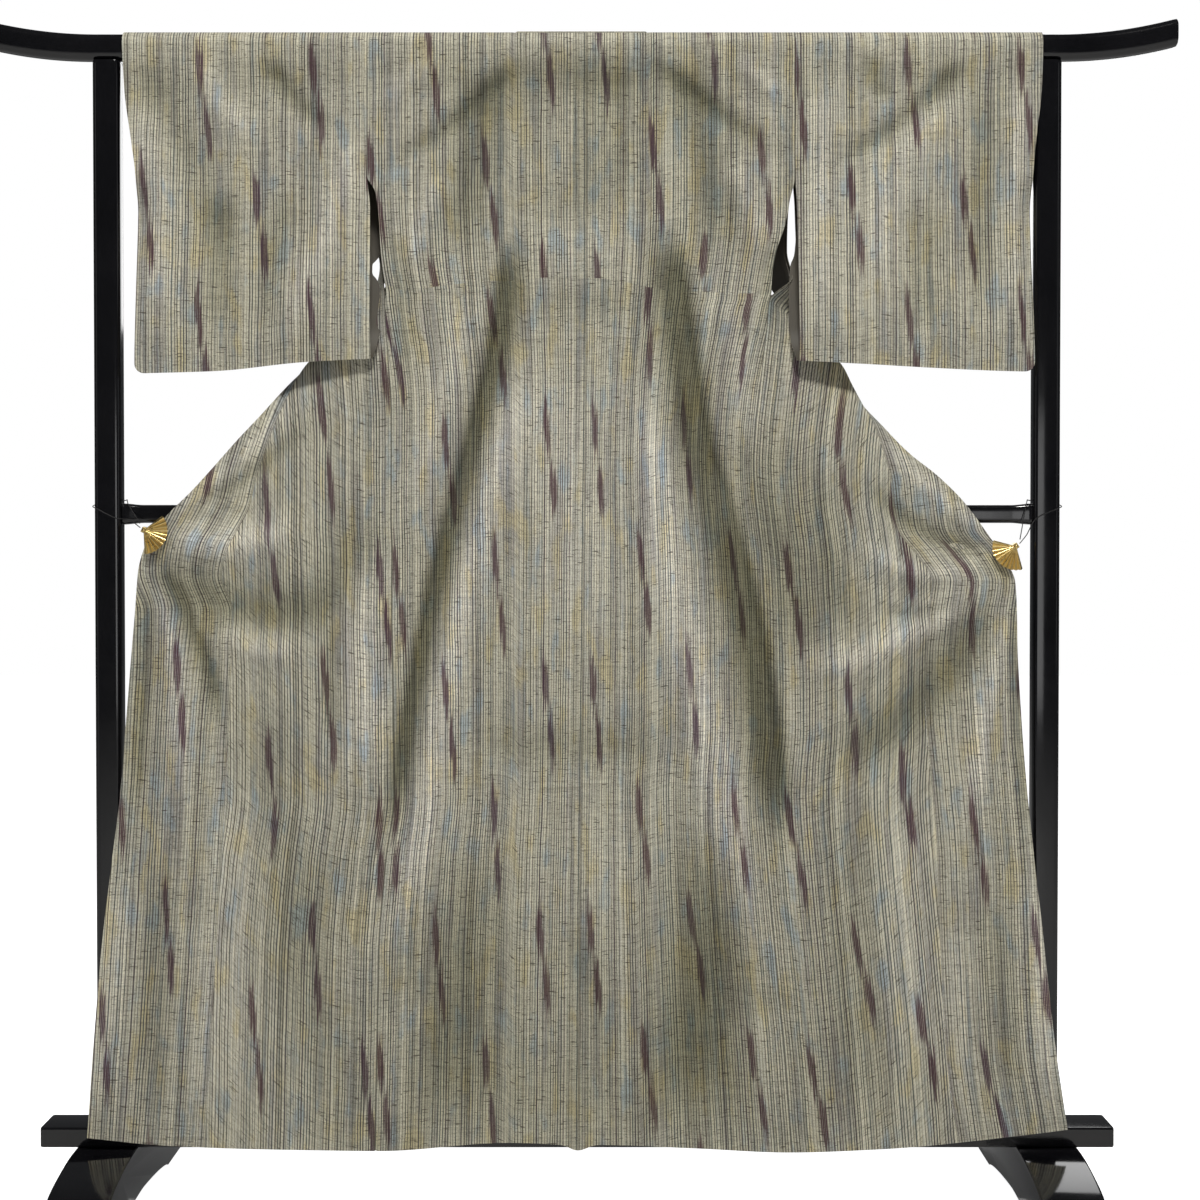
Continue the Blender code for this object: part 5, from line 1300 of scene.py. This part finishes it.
sleeve_left = sleeve_side("left", LEFT_SLEEVE, LEFT_SLEEVE_FOOT, silk_sleeve_left)
sleeve_right = sleeve_side("right", RIGHT_SLEEVE, RIGHT_SLEEVE_FOOT, silk_sleeve_right)

# %% [markdown]
# ## The collar and the lining
#
# The collar is one long folded band.  It lies over the bar at the neck, passes behind the
# fronts' edges, and ends under the clips.  In the slits below the arms a strip of lining
# shows between the front and the back.

# %% Collar band


def collar_band():
    """Straight lines between the sewn edge and the free edge; arcs where it lies on the bar."""
    rows = np.array(list(reversed(LEFT_COLLAR)) + [COLLAR_MIDDLE] + list(RIGHT_COLLAR))
    centre = rows.mean(axis=1)
    knots = np.concatenate(([0], np.cumsum(np.linalg.norm(np.diff(centre, axis=0), axis=1) + 0.002)))
    wanted = np.linspace(0, knots[-1], 560)
    rows = pass_through(knots, rows, wanted)
    sewn, free = rows[:, 0], rows[:, 1]
    share = np.linspace(0, 1, 13)[None, :, None]
    grid = sewn[:, None] * (1 - share) + free[:, None] * share
    radius = DRAPE + 0.0015
    begin = np.arcsin(np.clip(sewn[:, 1] / radius, -1, 1))[:, None]
    angle = begin + (1.5 - begin) * np.clip(share[..., 0] / 0.8, 0, 1)
    over = grid.copy()
    on_bar = share[..., 0] <= 0.8
    over[..., 1] = np.where(on_bar, radius * np.sin(angle), over[..., 1])
    over[..., 2] = np.where(on_bar, CROWN + 0.0006 - radius * (1 - np.cos(angle)), over[..., 2])
    at_neck = ease((sewn[:, 2] - 1.672) / 0.014)[:, None, None]
    grid = grid * (1 - at_neck) + over * at_neck
    uv = np.stack((np.broadcast_to(0.055 * share[..., 0], grid.shape[:2]),
                   np.broadcast_to(wanted[:, None], grid.shape[:2])), -1)
    normals = grid_normals(grid)
    facing = np.sign(normals[len(grid) // 2, 2, 2])
    return shell_of_cloth("collar_cloth", grid, uv, (silk_collar, silk_collar), facing, COLLAR_SHELL,
                          normals=normals)


collar = collar_band()

# %% Lining strips under the arms


def underarm_strip(word, body, low):
    """Strip laid on the inside of the front, between the armhole and the side seam."""
    heights = body[:, 0, 2]
    rows = np.where((heights > low) & (heights < ARMHOLE + 0.001))[0]
    piece = body[rows[0]:rows[-1] + 1, :10]
    facing = grid_normals(piece)
    facing = facing if facing[0, 1, 1] < 0 else -facing
    piece = piece + facing * 0.0040
    uv = np.stack((np.abs(piece[..., 0]), piece[..., 2]), -1)
    return shell_of_cloth(f"underarm_lining_{word}_cloth", piece, uv, (silk_lining, silk_lining), 1,
                          0.0008)


lining_left = underarm_strip("left", left_front_grid, 1.378)
lining_right = underarm_strip("right", right_front_grid, 1.345)

# %% [markdown]
# ## The stand
#
# The stand is turned and planed wood under many coats of polished black lacquer.  Only
# smooth, finely divided surfaces reflect well, so each piece is swept again from its own
# profile, as wide and as deep as the frame says it is.

# %% Lacquer, gilt and cord materials


def lacquer_material():
    """Polished black lacquer: nearly black, faint orange-peel ripple, a little dust haze."""
    material = bpy.data.materials.new("black_lacquer")
    material.use_nodes = True
    tree = material.node_tree
    shader = tree.nodes["Principled BSDF"]
    shader.inputs["IOR"].default_value = 1.52
    where = tree.nodes.new("ShaderNodeTexCoord").outputs["Object"]
    haze = cloudy(tree, where, 4.0, 0.6, 9.0)
    fine = cloudy(tree, where, 3.0, 0.6, 160.0)
    mixed = maths(tree, "MULTIPLY_ADD", haze, 0.7, maths(tree, "MULTIPLY", fine, 0.3))
    tree.links.new(ramp(tree, mixed, ((0.35, (0.0022, 0.0022, 0.0030)), (0.75, (0.0070, 0.0068, 0.0080)))),
                   shader.inputs["Base Color"])
    tree.links.new(maths(tree, "MULTIPLY_ADD", mixed, 0.14, 0.03), shader.inputs["Roughness"])
    ripple = cloudy(tree, where, 2.0, 0.5, 38.0)
    bump = tree.nodes.new("ShaderNodeBump")
    bump.inputs["Distance"].default_value = 0.0004
    bump.inputs["Strength"].default_value = 0.10
    tree.links.new(ripple, bump.inputs["Height"])
    tree.links.new(bump.outputs["Normal"], shader.inputs["Normal"])
    return material


def gilt_material():
    """Bright gilt sheet: warm gold whose colour, roughness and fine bumps vary at random."""
    material = bpy.data.materials.new("gilt_metal")
    material.use_nodes = True
    tree = material.node_tree
    shader = tree.nodes["Principled BSDF"]
    shader.inputs["Metallic"].default_value = 1.0
    where = tree.nodes.new("ShaderNodeTexCoord").outputs["Object"]
    worn = cloudy(tree, where, 3.0, 0.5, 60.0)
    tree.links.new(ramp(tree, worn, ((0.30, (0.560, 0.400, 0.150)), (0.55, (0.680, 0.510, 0.210)),
                                     (0.80, (0.760, 0.600, 0.290)))), shader.inputs["Base Color"])
    tree.links.new(maths(tree, "MULTIPLY_ADD", worn, 0.16, 0.20), shader.inputs["Roughness"])
    bump = tree.nodes.new("ShaderNodeBump")
    bump.inputs["Distance"].default_value = 0.00004
    bump.inputs["Strength"].default_value = 0.15
    tree.links.new(worn, bump.inputs["Height"])
    tree.links.new(bump.outputs["Normal"], shader.inputs["Normal"])
    return material


def cord_material():
    """Thin black cord: dull, with twisted strands drawn by a wave along its length."""
    material = bpy.data.materials.new("black_cord")
    material.use_nodes = True
    tree = material.node_tree
    shader = tree.nodes["Principled BSDF"]
    route = tree.nodes.new("ShaderNodeUVMap")
    route.uv_map = "cloth"
    u_, v_ = across_and_down(tree, route.outputs["UV"])
    strand = maths(tree, "FRACT", maths(tree, "ADD", maths(tree, "MULTIPLY", u_, 2.0),
                                        maths(tree, "MULTIPLY", v_, 600.0)))
    ridge = between(tree, maths(tree, "ABSOLUTE", maths(tree, "SUBTRACT", strand, 0.5)), 0.1, 0.45)
    tree.links.new(ramp(tree, ridge, ((0.0, (0.020, 0.019, 0.020)), (1.0, (0.006, 0.006, 0.006)))),
                   shader.inputs["Base Color"])
    tree.links.new(maths(tree, "MULTIPLY_ADD", ridge, 0.2, 0.55), shader.inputs["Roughness"])
    bump = tree.nodes.new("ShaderNodeBump")
    bump.inputs["Distance"].default_value = 0.0002
    tree.links.new(ridge, bump.inputs["Height"])
    tree.links.new(bump.outputs["Normal"], shader.inputs["Normal"])
    return material


black_lacquer = lacquer_material()
gilt_metal = gilt_material()
black_cord = cord_material()

# %% Sweeping a profile


def rounded_profile(width, height, radius, steps=7):
    """Points round a rectangle with quarter-circle corners, centred on zero, as an array."""
    corner = np.arange(4)[:, None]
    angle = (corner + np.linspace(0, 1, steps)) * math.pi / 2
    sign_x = np.array([1, -1, -1, 1])[:, None]
    sign_y = np.array([1, 1, -1, -1])[:, None]
    return np.stack((sign_x * (width / 2 - radius) + radius * np.cos(angle),
                     sign_y * (height / 2 - radius) + radius * np.sin(angle)), -1).reshape(-1, 2)


def sweep(name, sections, materials, uv=None, sharp=35.0):
    """Closed solid through sections (stations, points, 3): side quads, and caps.

    Each cap is a strip of quads that joins the section's first half to its second half.
    """
    stations, points = sections.shape[:2]
    number = np.arange(stations * points).reshape(stations, points)
    after = np.roll(number, -1, axis=1)
    sides = np.stack((number[:-1], after[:-1], after[1:], number[1:]), -1).reshape(-1, 4)
    half = points // 2
    near = np.arange(half - 1)
    strip = np.stack((near, near + 1, points - 2 - near, points - 1 - near), -1)
    caps = np.concatenate((strip[:, ::-1], strip + (stations - 1) * points))
    quads = np.concatenate((sides, caps))
    flat = sections.reshape(-1, 3)
    # turn every face round if the solid came out with a negative volume
    a, b, c, d = (flat[quads[:, k]] for k in range(4))
    volume = (np.einsum("ij,ij->i", a, np.cross(b, c)) + np.einsum("ij,ij->i", a, np.cross(c, d))).sum()
    if volume < 0:
        quads = quads[:, ::-1]
    return build_mesh(name, flat, quads, uv, materials, None, sharp)


print("profile points:", len(rounded_profile(0.03, 0.04, 0.01)))

# %% Top bar
TIP_RUN = 0.170                      # length of each upturned tip
TIP_RISE = 0.022


def top_bar():
    """Rounded bar whose tips climb with the square of the way along and end softened."""
    half = float(bar_high.x)
    depth, height = 0.030, 0.038
    outline = rounded_profile(depth, height, 0.012)
    run = np.concatenate((np.linspace(0, 1, 28)[:-1], (1 - 0.006, 1 - 0.002, 1.0)))
    tip = half - TIP_RUN * (1 - run)
    x = np.concatenate((-tip[::-1], tip))
    along = np.clip((np.abs(x) - (half - TIP_RUN)) / TIP_RUN, 0, 1)
    to_end = half - np.abs(x)
    soft = 1 - 0.10 * np.clip(1 - to_end / 0.0020, 0, 1) ** 2
    grow = (1 + 0.05 * along) * soft
    lift = BAR_TOP - height / 2 + TIP_RISE * along**2
    sections = np.empty((len(x), len(outline), 3))
    sections[..., 0] = x[:, None]
    sections[..., 1] = outline[None, :, 0] * grow[:, None]
    sections[..., 2] = lift[:, None] + outline[None, :, 1] * grow[:, None]
    return sweep("top_bar_lacquer", sections, (black_lacquer,))


bar = top_bar()
print("top bar:", len(bar.data.polygons), "faces")

# %% Posts, rail and beam


def straight_piece(name, node, axis, radius, ends=0.0015, flare=0.0, seats=0.0):
    """Rounded bar that fills a CAD node's box, along axis 0 or 2, with softened ends.

    flare widens both ends over the last three centimetres, as a rail does in its seats.
    """
    low, high = (np.array(corner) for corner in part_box(node))
    others = [k for k in range(3) if k != axis]
    width, height = (high - low)[others[0]], (high - low)[others[1]]
    outline = rounded_profile(width / (1 + flare), height / (1 + flare), radius)
    centre = (low + high) / 2
    start, stop = low[axis], high[axis]
    bits = np.array([0.0, 0.3 * ends, ends, 0.006, 0.012, 0.018, 0.024, 0.030])
    place_along = np.concatenate((start + bits, stop - bits[::-1]))
    to_end = np.minimum(place_along - start, stop - place_along)
    soft = 1 - 0.05 * np.clip(1 - to_end / max(ends, 1e-6), 0, 1) ** 2
    grow = soft * (1 + flare * (1 - ease(to_end / 0.030)))
    sections = np.empty((len(place_along), len(outline), 3))
    sections[..., axis] = place_along[:, None]
    sections[..., others[0]] = centre[others[0]] + outline[None, :, 0] * grow[:, None]
    sections[..., others[1]] = centre[others[1]] + outline[None, :, 1] * grow[:, None]
    return sweep(name, sections, (black_lacquer,))


post_left = straight_piece("post_left_lacquer", "post_left", 2, 0.008)
post_right = straight_piece("post_right_lacquer", "post_right", 2, 0.008)
rail = straight_piece("mid_rail_lacquer", "mid_rail", 0, 0.006, flare=0.18)
beam = straight_piece("lower_beam_lacquer", "lower_beam", 0, 0.003, ends=0.003)
print("posts, rail and beam made")

# %% [markdown]
# The feet are low bridges.  Their side view has a flat seat under the beam, a top that
# slopes away in a long curve, a round toe and a shallow arch beneath.

# %% Feet
FOOT_HALF = 0.300
FOOT_ARCH = 0.200
FOOT_RISE = 0.016
FOOT_EDGE = 0.0035                   # radius of the long edges


def foot_profile():
    """Side view of a foot, from the front toe over the top and back along the underside."""
    seat = 0.0876
    angle = np.linspace(0, 1, 12) * math.pi / 2
    toe = np.stack((-FOOT_HALF + 0.045 * (1 - np.cos(angle)) - 0.012 * np.sin(2 * angle),
                    0.050 * np.sin(angle)), -1)
    slope_y = np.linspace(toe[-1, 0], -0.045, 16)[1:]
    slope_z = pass_through((toe[-1, 0], -0.205, -0.140, -0.080, -0.045),
                           (0.050, 0.067, 0.079, 0.086, seat), slope_y)
    half = np.concatenate((toe, np.stack((slope_y, slope_z), -1)))
    top = np.concatenate((half, half[::-1] * np.array([-1.0, 1.0])))
    across = np.linspace(FOOT_ARCH, -FOOT_ARCH, 25)
    arch = np.stack((across, FOOT_RISE * np.cos(math.pi / 2 * across / FOOT_ARCH) ** 0.7), -1)
    return np.concatenate((top, arch))


def foot(name, node):
    """The side view carried across the foot's width, its long edges softened in a quarter round."""
    low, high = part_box(node)
    profile = foot_profile()
    centre = np.array([0.0, 0.045])
    toward = unit(centre - profile)
    angle = np.linspace(0, 1, 5) * math.pi / 2
    inset = FOOT_EDGE * (1 - np.cos(angle))
    x = np.concatenate((low.x + inset, high.x - inset[::-1]))
    pull = FOOT_EDGE * (1 - np.sin(angle))
    pull = np.concatenate((pull, pull[::-1]))
    sections = np.empty((len(x), len(profile), 3))
    sections[..., 0] = x[:, None]
    moved = profile[None] + toward[None] * pull[:, None, None]
    sections[..., 1] = moved[..., 0]
    sections[..., 2] = np.where(profile[None, :, 1] < 1e-6, 0.0, moved[..., 1])
    return close_foot(name, sections)


def close_foot(name, sections):
    """Sides as quads, and each flank as a fan of triangles round the profile's points."""
    stations, points = sections.shape[:2]
    mesh = bpy.data.meshes.new(name)
    number = np.arange(stations * points).reshape(stations, points)
    after = np.roll(number, -1, axis=1)
    sides = np.stack((number[:-1], after[:-1], after[1:], number[1:]), -1).reshape(-1, 4)
    faces = sides.tolist() + [number[0, ::-1].tolist(), number[-1].tolist()]
    mesh.from_pydata(sections.reshape(-1, 3).tolist(), [], faces)
    mesh.update()
    mesh.shade_smooth()
    mesh.set_sharp_from_angle(angle=math.radians(35))
    mesh.materials.append(black_lacquer)
    piece = bpy.data.objects.new(name, mesh)
    bpy.context.scene.collection.objects.link(piece)
    return piece


foot_left = foot("foot_left_lacquer", "foot_left")
foot_right = foot("foot_right_lacquer", "foot_right")
print("feet made")

# %% [markdown]
# ## The fan clips
#
# Each clip is a small pleated fan of gilt sheet with a spring jaw behind it.  The jaw grips
# the end of the collar, and a thin cord ties the clip to the stand.  A fan is a surface over
# an angle and a radius, whose height follows a triangle wave softened at its crests.

# %% Fans
LEFT_HUB = (-0.6215, 0.979)
RIGHT_HUB = (0.6300, 0.956)
FAN_RADIUS = 0.034
FAN_RIBS = 11
FAN_DEPTH = -0.0420


def pleated_fan(name, hub, first, last):
    """Fan from angle first to angle last, in degrees, with a scalloped rim."""
    steps = FAN_RIBS * 10
    share = np.linspace(0, 1, steps + 1)
    angle = np.radians(first + (last - first) * share)[:, None]
    radius_share = np.linspace(0, 1, 22)[None, :]
    wave = 1 - 2 * np.abs(2 * np.mod(share * FAN_RIBS, 1.0) - 1)
    wave = np.sin(wave * math.pi / 2)[:, None]
    scallop = 1 + 0.018 * wave
    radius = 0.0032 + (FAN_RADIUS * scallop - 0.0032) * radius_share
    grid = np.empty((steps + 1, 22, 3))
    grid[..., 0] = hub[0] + radius * np.cos(angle)
    grid[..., 2] = hub[1] + radius * np.sin(angle)
    groove = 0.0003 * np.exp(-((radius / FAN_RADIUS - 0.30) / 0.03) ** 2)
    grid[..., 1] = FAN_DEPTH - wave * 0.0013 * radius / FAN_RADIUS + groove
    normals = grid_normals(grid)
    facing = 1 if normals[0, 3, 1] < 0 else -1
    uv = np.zeros((steps + 1, 22, 2))
    return shell_of_cloth(name, grid, uv, (gilt_metal, gilt_metal), facing, 0.0010)


def turned(name, hub, y_start, profile, material):
    """Solid of revolution about +Y through the hub: profile rows are depth and radius."""
    angle = np.linspace(0, 2 * math.pi, 29)[:-1]
    profile = np.array(profile)
    sections = np.empty((len(profile), len(angle), 3))
    sections[..., 0] = hub[0] + profile[:, 1:2] * np.cos(angle)
    sections[..., 1] = y_start + profile[:, 0:1]
    sections[..., 2] = hub[1] + profile[:, 1:2] * np.sin(angle)
    return sweep(name, sections, (material,), sharp=60.0)


fan_left = pleated_fan("fan_left_gilt", LEFT_HUB, 38.0, -88.0)
fan_right = pleated_fan("fan_right_gilt", RIGHT_HUB, 165.0, 286.0)
RIVET = ((-0.0024, 0.0002), (-0.0023, 0.0014), (-0.0018, 0.0022), (-0.0008, 0.0026), (0.0006, 0.0026))
rivet_left = turned("rivet_left_gilt", LEFT_HUB, FAN_DEPTH, RIVET, gilt_metal)
rivet_right = turned("rivet_right_gilt", RIGHT_HUB, FAN_DEPTH, RIVET, gilt_metal)

# %% Jaws behind the cloth


def jaw(name, node, hub, degrees):
    """Hub block and rear plate: a stepped side view carried across the jaw's width."""
    low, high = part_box(node)
    rear = float(high.y) - 0.0024
    front = float(low.y)
    turn = math.radians(degrees)
    along = np.array([math.cos(turn), math.sin(turn)])
    beside = np.array([-along[1], along[0]])
    profile = np.array([(-0.004, front), (0.0032, front), (0.0032, rear), (0.012, rear + 0.0001),
                        (0.020, rear + 0.0006), (0.026, rear + 0.0008), (0.026, rear + 0.0024),
                        (0.020, rear + 0.0026), (0.008, rear + 0.0026), (-0.004, rear + 0.0024)])
    profile[:, 1] = np.minimum(profile[:, 1], float(high.y))
    width = np.array([-0.004, -0.0036, 0.0036, 0.004])
    pull = np.array([0.0004, 0.0, 0.0, 0.0004])
    middle = profile.mean(axis=0)
    sections = np.empty((4, len(profile), 3))
    moved = profile[None] + unit(middle - profile)[None] * pull[:, None, None]
    sections[..., 0] = hub[0] + along[0] * moved[..., 0] + beside[0] * width[:, None]
    sections[..., 1] = moved[..., 1]
    sections[..., 2] = hub[1] + along[1] * moved[..., 0] + beside[1] * width[:, None]
    return close_solid(name, sections, gilt_metal)


def close_solid(name, sections, material):
    """Side quads and two flat ends, turned outwards if they came out inside out."""
    stations, points = sections.shape[:2]
    number = np.arange(stations * points).reshape(stations, points)
    after = np.roll(number, -1, axis=1)
    sides = np.stack((number[:-1], after[:-1], after[1:], number[1:]), -1).reshape(-1, 4)
    flat = sections.reshape(-1, 3)
    a, b, c, d = (flat[sides[:, k]] for k in range(4))
    volume = (np.einsum("ij,ij->i", a, np.cross(b, c)) + np.einsum("ij,ij->i", a, np.cross(c, d))).sum()
    ends = [number[0, ::-1], number[-1]]
    faces = sides.tolist() + [e.tolist() for e in ends]
    if volume < 0:
        faces = [face[::-1] for face in faces]
    mesh = bpy.data.meshes.new(name)
    mesh.from_pydata(flat.tolist(), [], faces)
    mesh.update()
    mesh.shade_smooth()
    mesh.set_sharp_from_angle(angle=math.radians(35))
    mesh.materials.append(material)
    piece = bpy.data.objects.new(name, mesh)
    bpy.context.scene.collection.objects.link(piece)
    return piece


jaw_left = jaw("jaw_left_gilt", "clip_left", LEFT_HUB, -25.0)
jaw_right = jaw("jaw_right_gilt", "clip_right", RIGHT_HUB, 215.0)
print("jaws made")

# %% [markdown]
# Each cord leaves the clip's ring, passes round the post and the middle rail, and comes back.
# Its route is a list of given points; a round section is carried along the smooth
# curve through them.

# %% Cords
CORD_RADIUS = 0.0007
post_low, post_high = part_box("post_right")
POST_FACE = float(post_high.y) + 0.002
POST_IN = float(post_low.x) - 0.003
POST_OUT = float(post_high.x) + 0.002


def tie_cord(name, hub, side):
    """Tube of eight sides along the smooth curve through the route's points."""
    ring = hub[0] + side * 0.0060
    high = hub[1] + 0.004
    route = np.array((
        (ring, -0.036, high),
        (side * (POST_IN - 0.010), -0.031, high + 0.012),
        (side * (POST_IN + 0.006), -POST_FACE - 0.002, 0.996),
        (side * (POST_OUT - 0.008), -POST_FACE - 0.001, 1.010),
        (side * POST_OUT, -POST_FACE + 0.006, 1.014),
        (side * POST_OUT, POST_FACE - 0.006, 1.018),
        (side * (POST_OUT - 0.006), POST_FACE, 1.0205),
        (side * (POST_IN + 0.008), POST_FACE, 1.0225),
        (side * POST_IN, POST_FACE - 0.006, 1.0235),
        (side * (POST_IN - 0.004), -0.006, 1.0235),
        (side * (POST_IN - 0.007), -0.0145, 1.018),
        (ring + side * 0.001, -0.033, high + 0.006),
    ))
    knots = np.arange(len(route), dtype=float)
    path = pass_through(knots, route, np.linspace(0, len(route) - 1, 150))
    tangent = unit(np.gradient(path, axis=0))
    helper = np.where(np.abs(tangent[:, 2:3]) > 0.9, np.array([[1.0, 0, 0]]), np.array([[0, 0, 1.0]]))
    side_axis = unit(np.cross(tangent, helper))
    other_axis = np.cross(tangent, side_axis)
    angle = np.linspace(0, 2 * math.pi, 9)[:-1]
    sections = (path[:, None] + CORD_RADIUS * (side_axis[:, None] * np.cos(angle)[None, :, None]
                                               + other_axis[:, None] * np.sin(angle)[None, :, None]))
    run = np.concatenate(([0], np.cumsum(np.linalg.norm(np.diff(path, axis=0), axis=1))))
    uv = np.stack((np.broadcast_to(angle / (2 * math.pi), sections.shape[:2]),
                   np.broadcast_to(run[:, None], sections.shape[:2])), -1).reshape(-1, 2)
    print(f"{name}: {run[-1] * 1000:.0f} mm of cord")
    return sweep(name, sections, (black_cord,), uv, sharp=80.0)


cord_left = tie_cord("tie_cord_left", LEFT_HUB, -1)
cord_right = tie_cord("tie_cord_right", RIGHT_HUB, 1)

# %% [markdown]
# ## Joining everything to the frame
#
# Nothing on this object moves, so every piece rides on the one body of the model.  Each
# piece says which CAD nodes it stands for and which finish it has.

# %% Ride and replace
BODY = list(frame["bodies"])[0]

pieces = (
    (body_left, "silk_cloth", ("back_left", "front_left")),
    (body_right, "silk_cloth", ("back_right", "front_right")),
    (overlap_left, "silk_cloth", ("overlap_left",)),
    (overlap_right, "silk_cloth", ("overlap_right",)),
    (sleeve_left, "silk_cloth", ("sleeve_left_back", "sleeve_left_front")),
    (sleeve_right, "silk_cloth", ("sleeve_right_back", "sleeve_right_front")),
    (collar, "silk_cloth", ("collar",)),
    (lining_left, "silk_lining", ("underarm_lining_left",)),
    (lining_right, "silk_lining", ("underarm_lining_right",)),
    (bar, "black_lacquer", ("top_bar",)),
    (post_left, "black_lacquer", ("post_left",)),
    (post_right, "black_lacquer", ("post_right",)),
    (rail, "black_lacquer", ("mid_rail",)),
    (beam, "black_lacquer", ("lower_beam",)),
    (foot_left, "black_lacquer", ("foot_left",)),
    (foot_right, "black_lacquer", ("foot_right",)),
    (fan_left, "gilt_metal", ("fan_left",)),
    (fan_right, "gilt_metal", ("fan_right",)),
    (jaw_left, "gilt_metal", ("clip_left",)),
    (jaw_right, "gilt_metal", ("clip_right",)),
    (rivet_left, "gilt_metal", ()),
    (rivet_right, "gilt_metal", ()),
    (cord_left, "black_cord", ("clip_cord_left",)),
    (cord_right, "black_cord", ("clip_cord_right",)),
)
for piece, slot, nodes in pieces:
    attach(piece, BODY)
    if nodes:
        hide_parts(*nodes)

print("pieces:", len(pieces))

# %% [markdown]
# ## Studio
#
# A pale floor, a white surround, and large soft lights: the main one above and a little to
# the left of the camera, so that the folds read, and weaker ones at the sides.  The camera
# sees the white surround, while other rays see a dimmer one, which keeps the lacquer black.

# %% Floor
floor_mesh = bpy.data.meshes.new("studio_floor")
floor_mesh.from_pydata([(-14, -14, 0), (14, -14, 0), (14, 14, 0), (-14, 14, 0)], [], [(0, 1, 2, 3)])
floor = bpy.data.objects.new("studio_floor", floor_mesh)
bpy.context.scene.collection.objects.link(floor)
floor.location.z = -0.0005
floor_material = bpy.data.materials.new("pale_floor")
floor_material.use_nodes = True
floor_tree = floor_material.node_tree
floor_shader = floor_tree.nodes["Principled BSDF"]
floor_shader.inputs["Roughness"].default_value = 0.6
floor_where = floor_tree.nodes.new("ShaderNodeTexCoord").outputs["Object"]
floor_tree.links.new(ramp(floor_tree, cloudy(floor_tree, floor_where, 3.0, 0.5, 2.0),
                          ((0.3, (0.90, 0.90, 0.90)), (0.7, (0.93, 0.93, 0.93)))),
                     floor_shader.inputs["Base Color"])
floor_shader.inputs["Emission Strength"].default_value = 1.0
glow = blend_colours(floor_tree, floor_tree.nodes.new("ShaderNodeLightPath").outputs["Is Camera Ray"],
                     (0.0, 0.0, 0.0), (1.0, 1.0, 1.0))
floor_tree.links.new(glow, floor_shader.inputs["Emission Color"])
floor_mesh.materials.append(floor_material)

# %% World and lights
world = bpy.data.worlds.new("studio")
bpy.context.scene.world = world
world.use_nodes = True
sky = world.node_tree
sky_out = sky.nodes["World Output"]
seen_white = sky.nodes["Background"]
seen_white.inputs["Color"].default_value = (1.0, 1.0, 1.0, 1.0)
seen_white.inputs["Strength"].default_value = 1.0
dim = sky.nodes.new("ShaderNodeBackground")
dim.inputs["Color"].default_value = (0.93, 0.96, 1.0, 1.0)
dim.inputs["Strength"].default_value = 0.07
choose = sky.nodes.new("ShaderNodeMixShader")
sky.links.new(sky.nodes.new("ShaderNodeLightPath").outputs["Is Camera Ray"], choose.inputs[0])
sky.links.new(dim.outputs[0], choose.inputs[1])
sky.links.new(seen_white.outputs[0], choose.inputs[2])
sky.links.new(choose.outputs[0], sky_out.inputs["Surface"])


def soft_light(name, where, aim, width, height, power, colour=(1.0, 1.0, 1.0)):
    """Rectangular area light at where, facing aim."""
    data = bpy.data.lights.new(name, "AREA")
    data.shape = "RECTANGLE"
    data.size, data.size_y = width, height
    data.energy = power
    data.color = colour
    lamp = bpy.data.objects.new(name, data)
    lamp.location = where
    direction = np.array(aim, float) - np.array(where, float)
    yaw = math.atan2(direction[0], direction[1])
    pitch = math.atan2(direction[2], math.hypot(direction[0], direction[1]))
    lamp.rotation_euler = (math.pi / 2 + pitch, 0.0, -yaw)
    bpy.context.scene.collection.objects.link(lamp)
    return lamp


soft_light("main_light", (0.15, -3.3, 6.7), (0.0, 0.0, 0.80), 1.5, 1.1, 385.0, (1.0, 0.985, 0.95))
soft_light("front_fill", (0.3, -4.6, 0.9), (0.0, 0.0, 0.7), 2.0, 1.0, 14.0)
soft_light("right_fill", (3.0, -1.9, 1.6), (0.0, 0.0, 0.9), 0.6, 2.0, 3.0, (0.96, 0.98, 1.0))
soft_light("left_fill", (-3.2, -1.6, 1.4), (0.0, 0.0, 0.9), 0.6, 2.2, 3.0)
soft_light("rear_light", (0.8, 3.6, 2.4), (0.0, 0.0, 0.9), 2.4, 1.6, 30.0)

bpy.context.scene.view_settings.view_transform = "Standard"
print("lights placed")
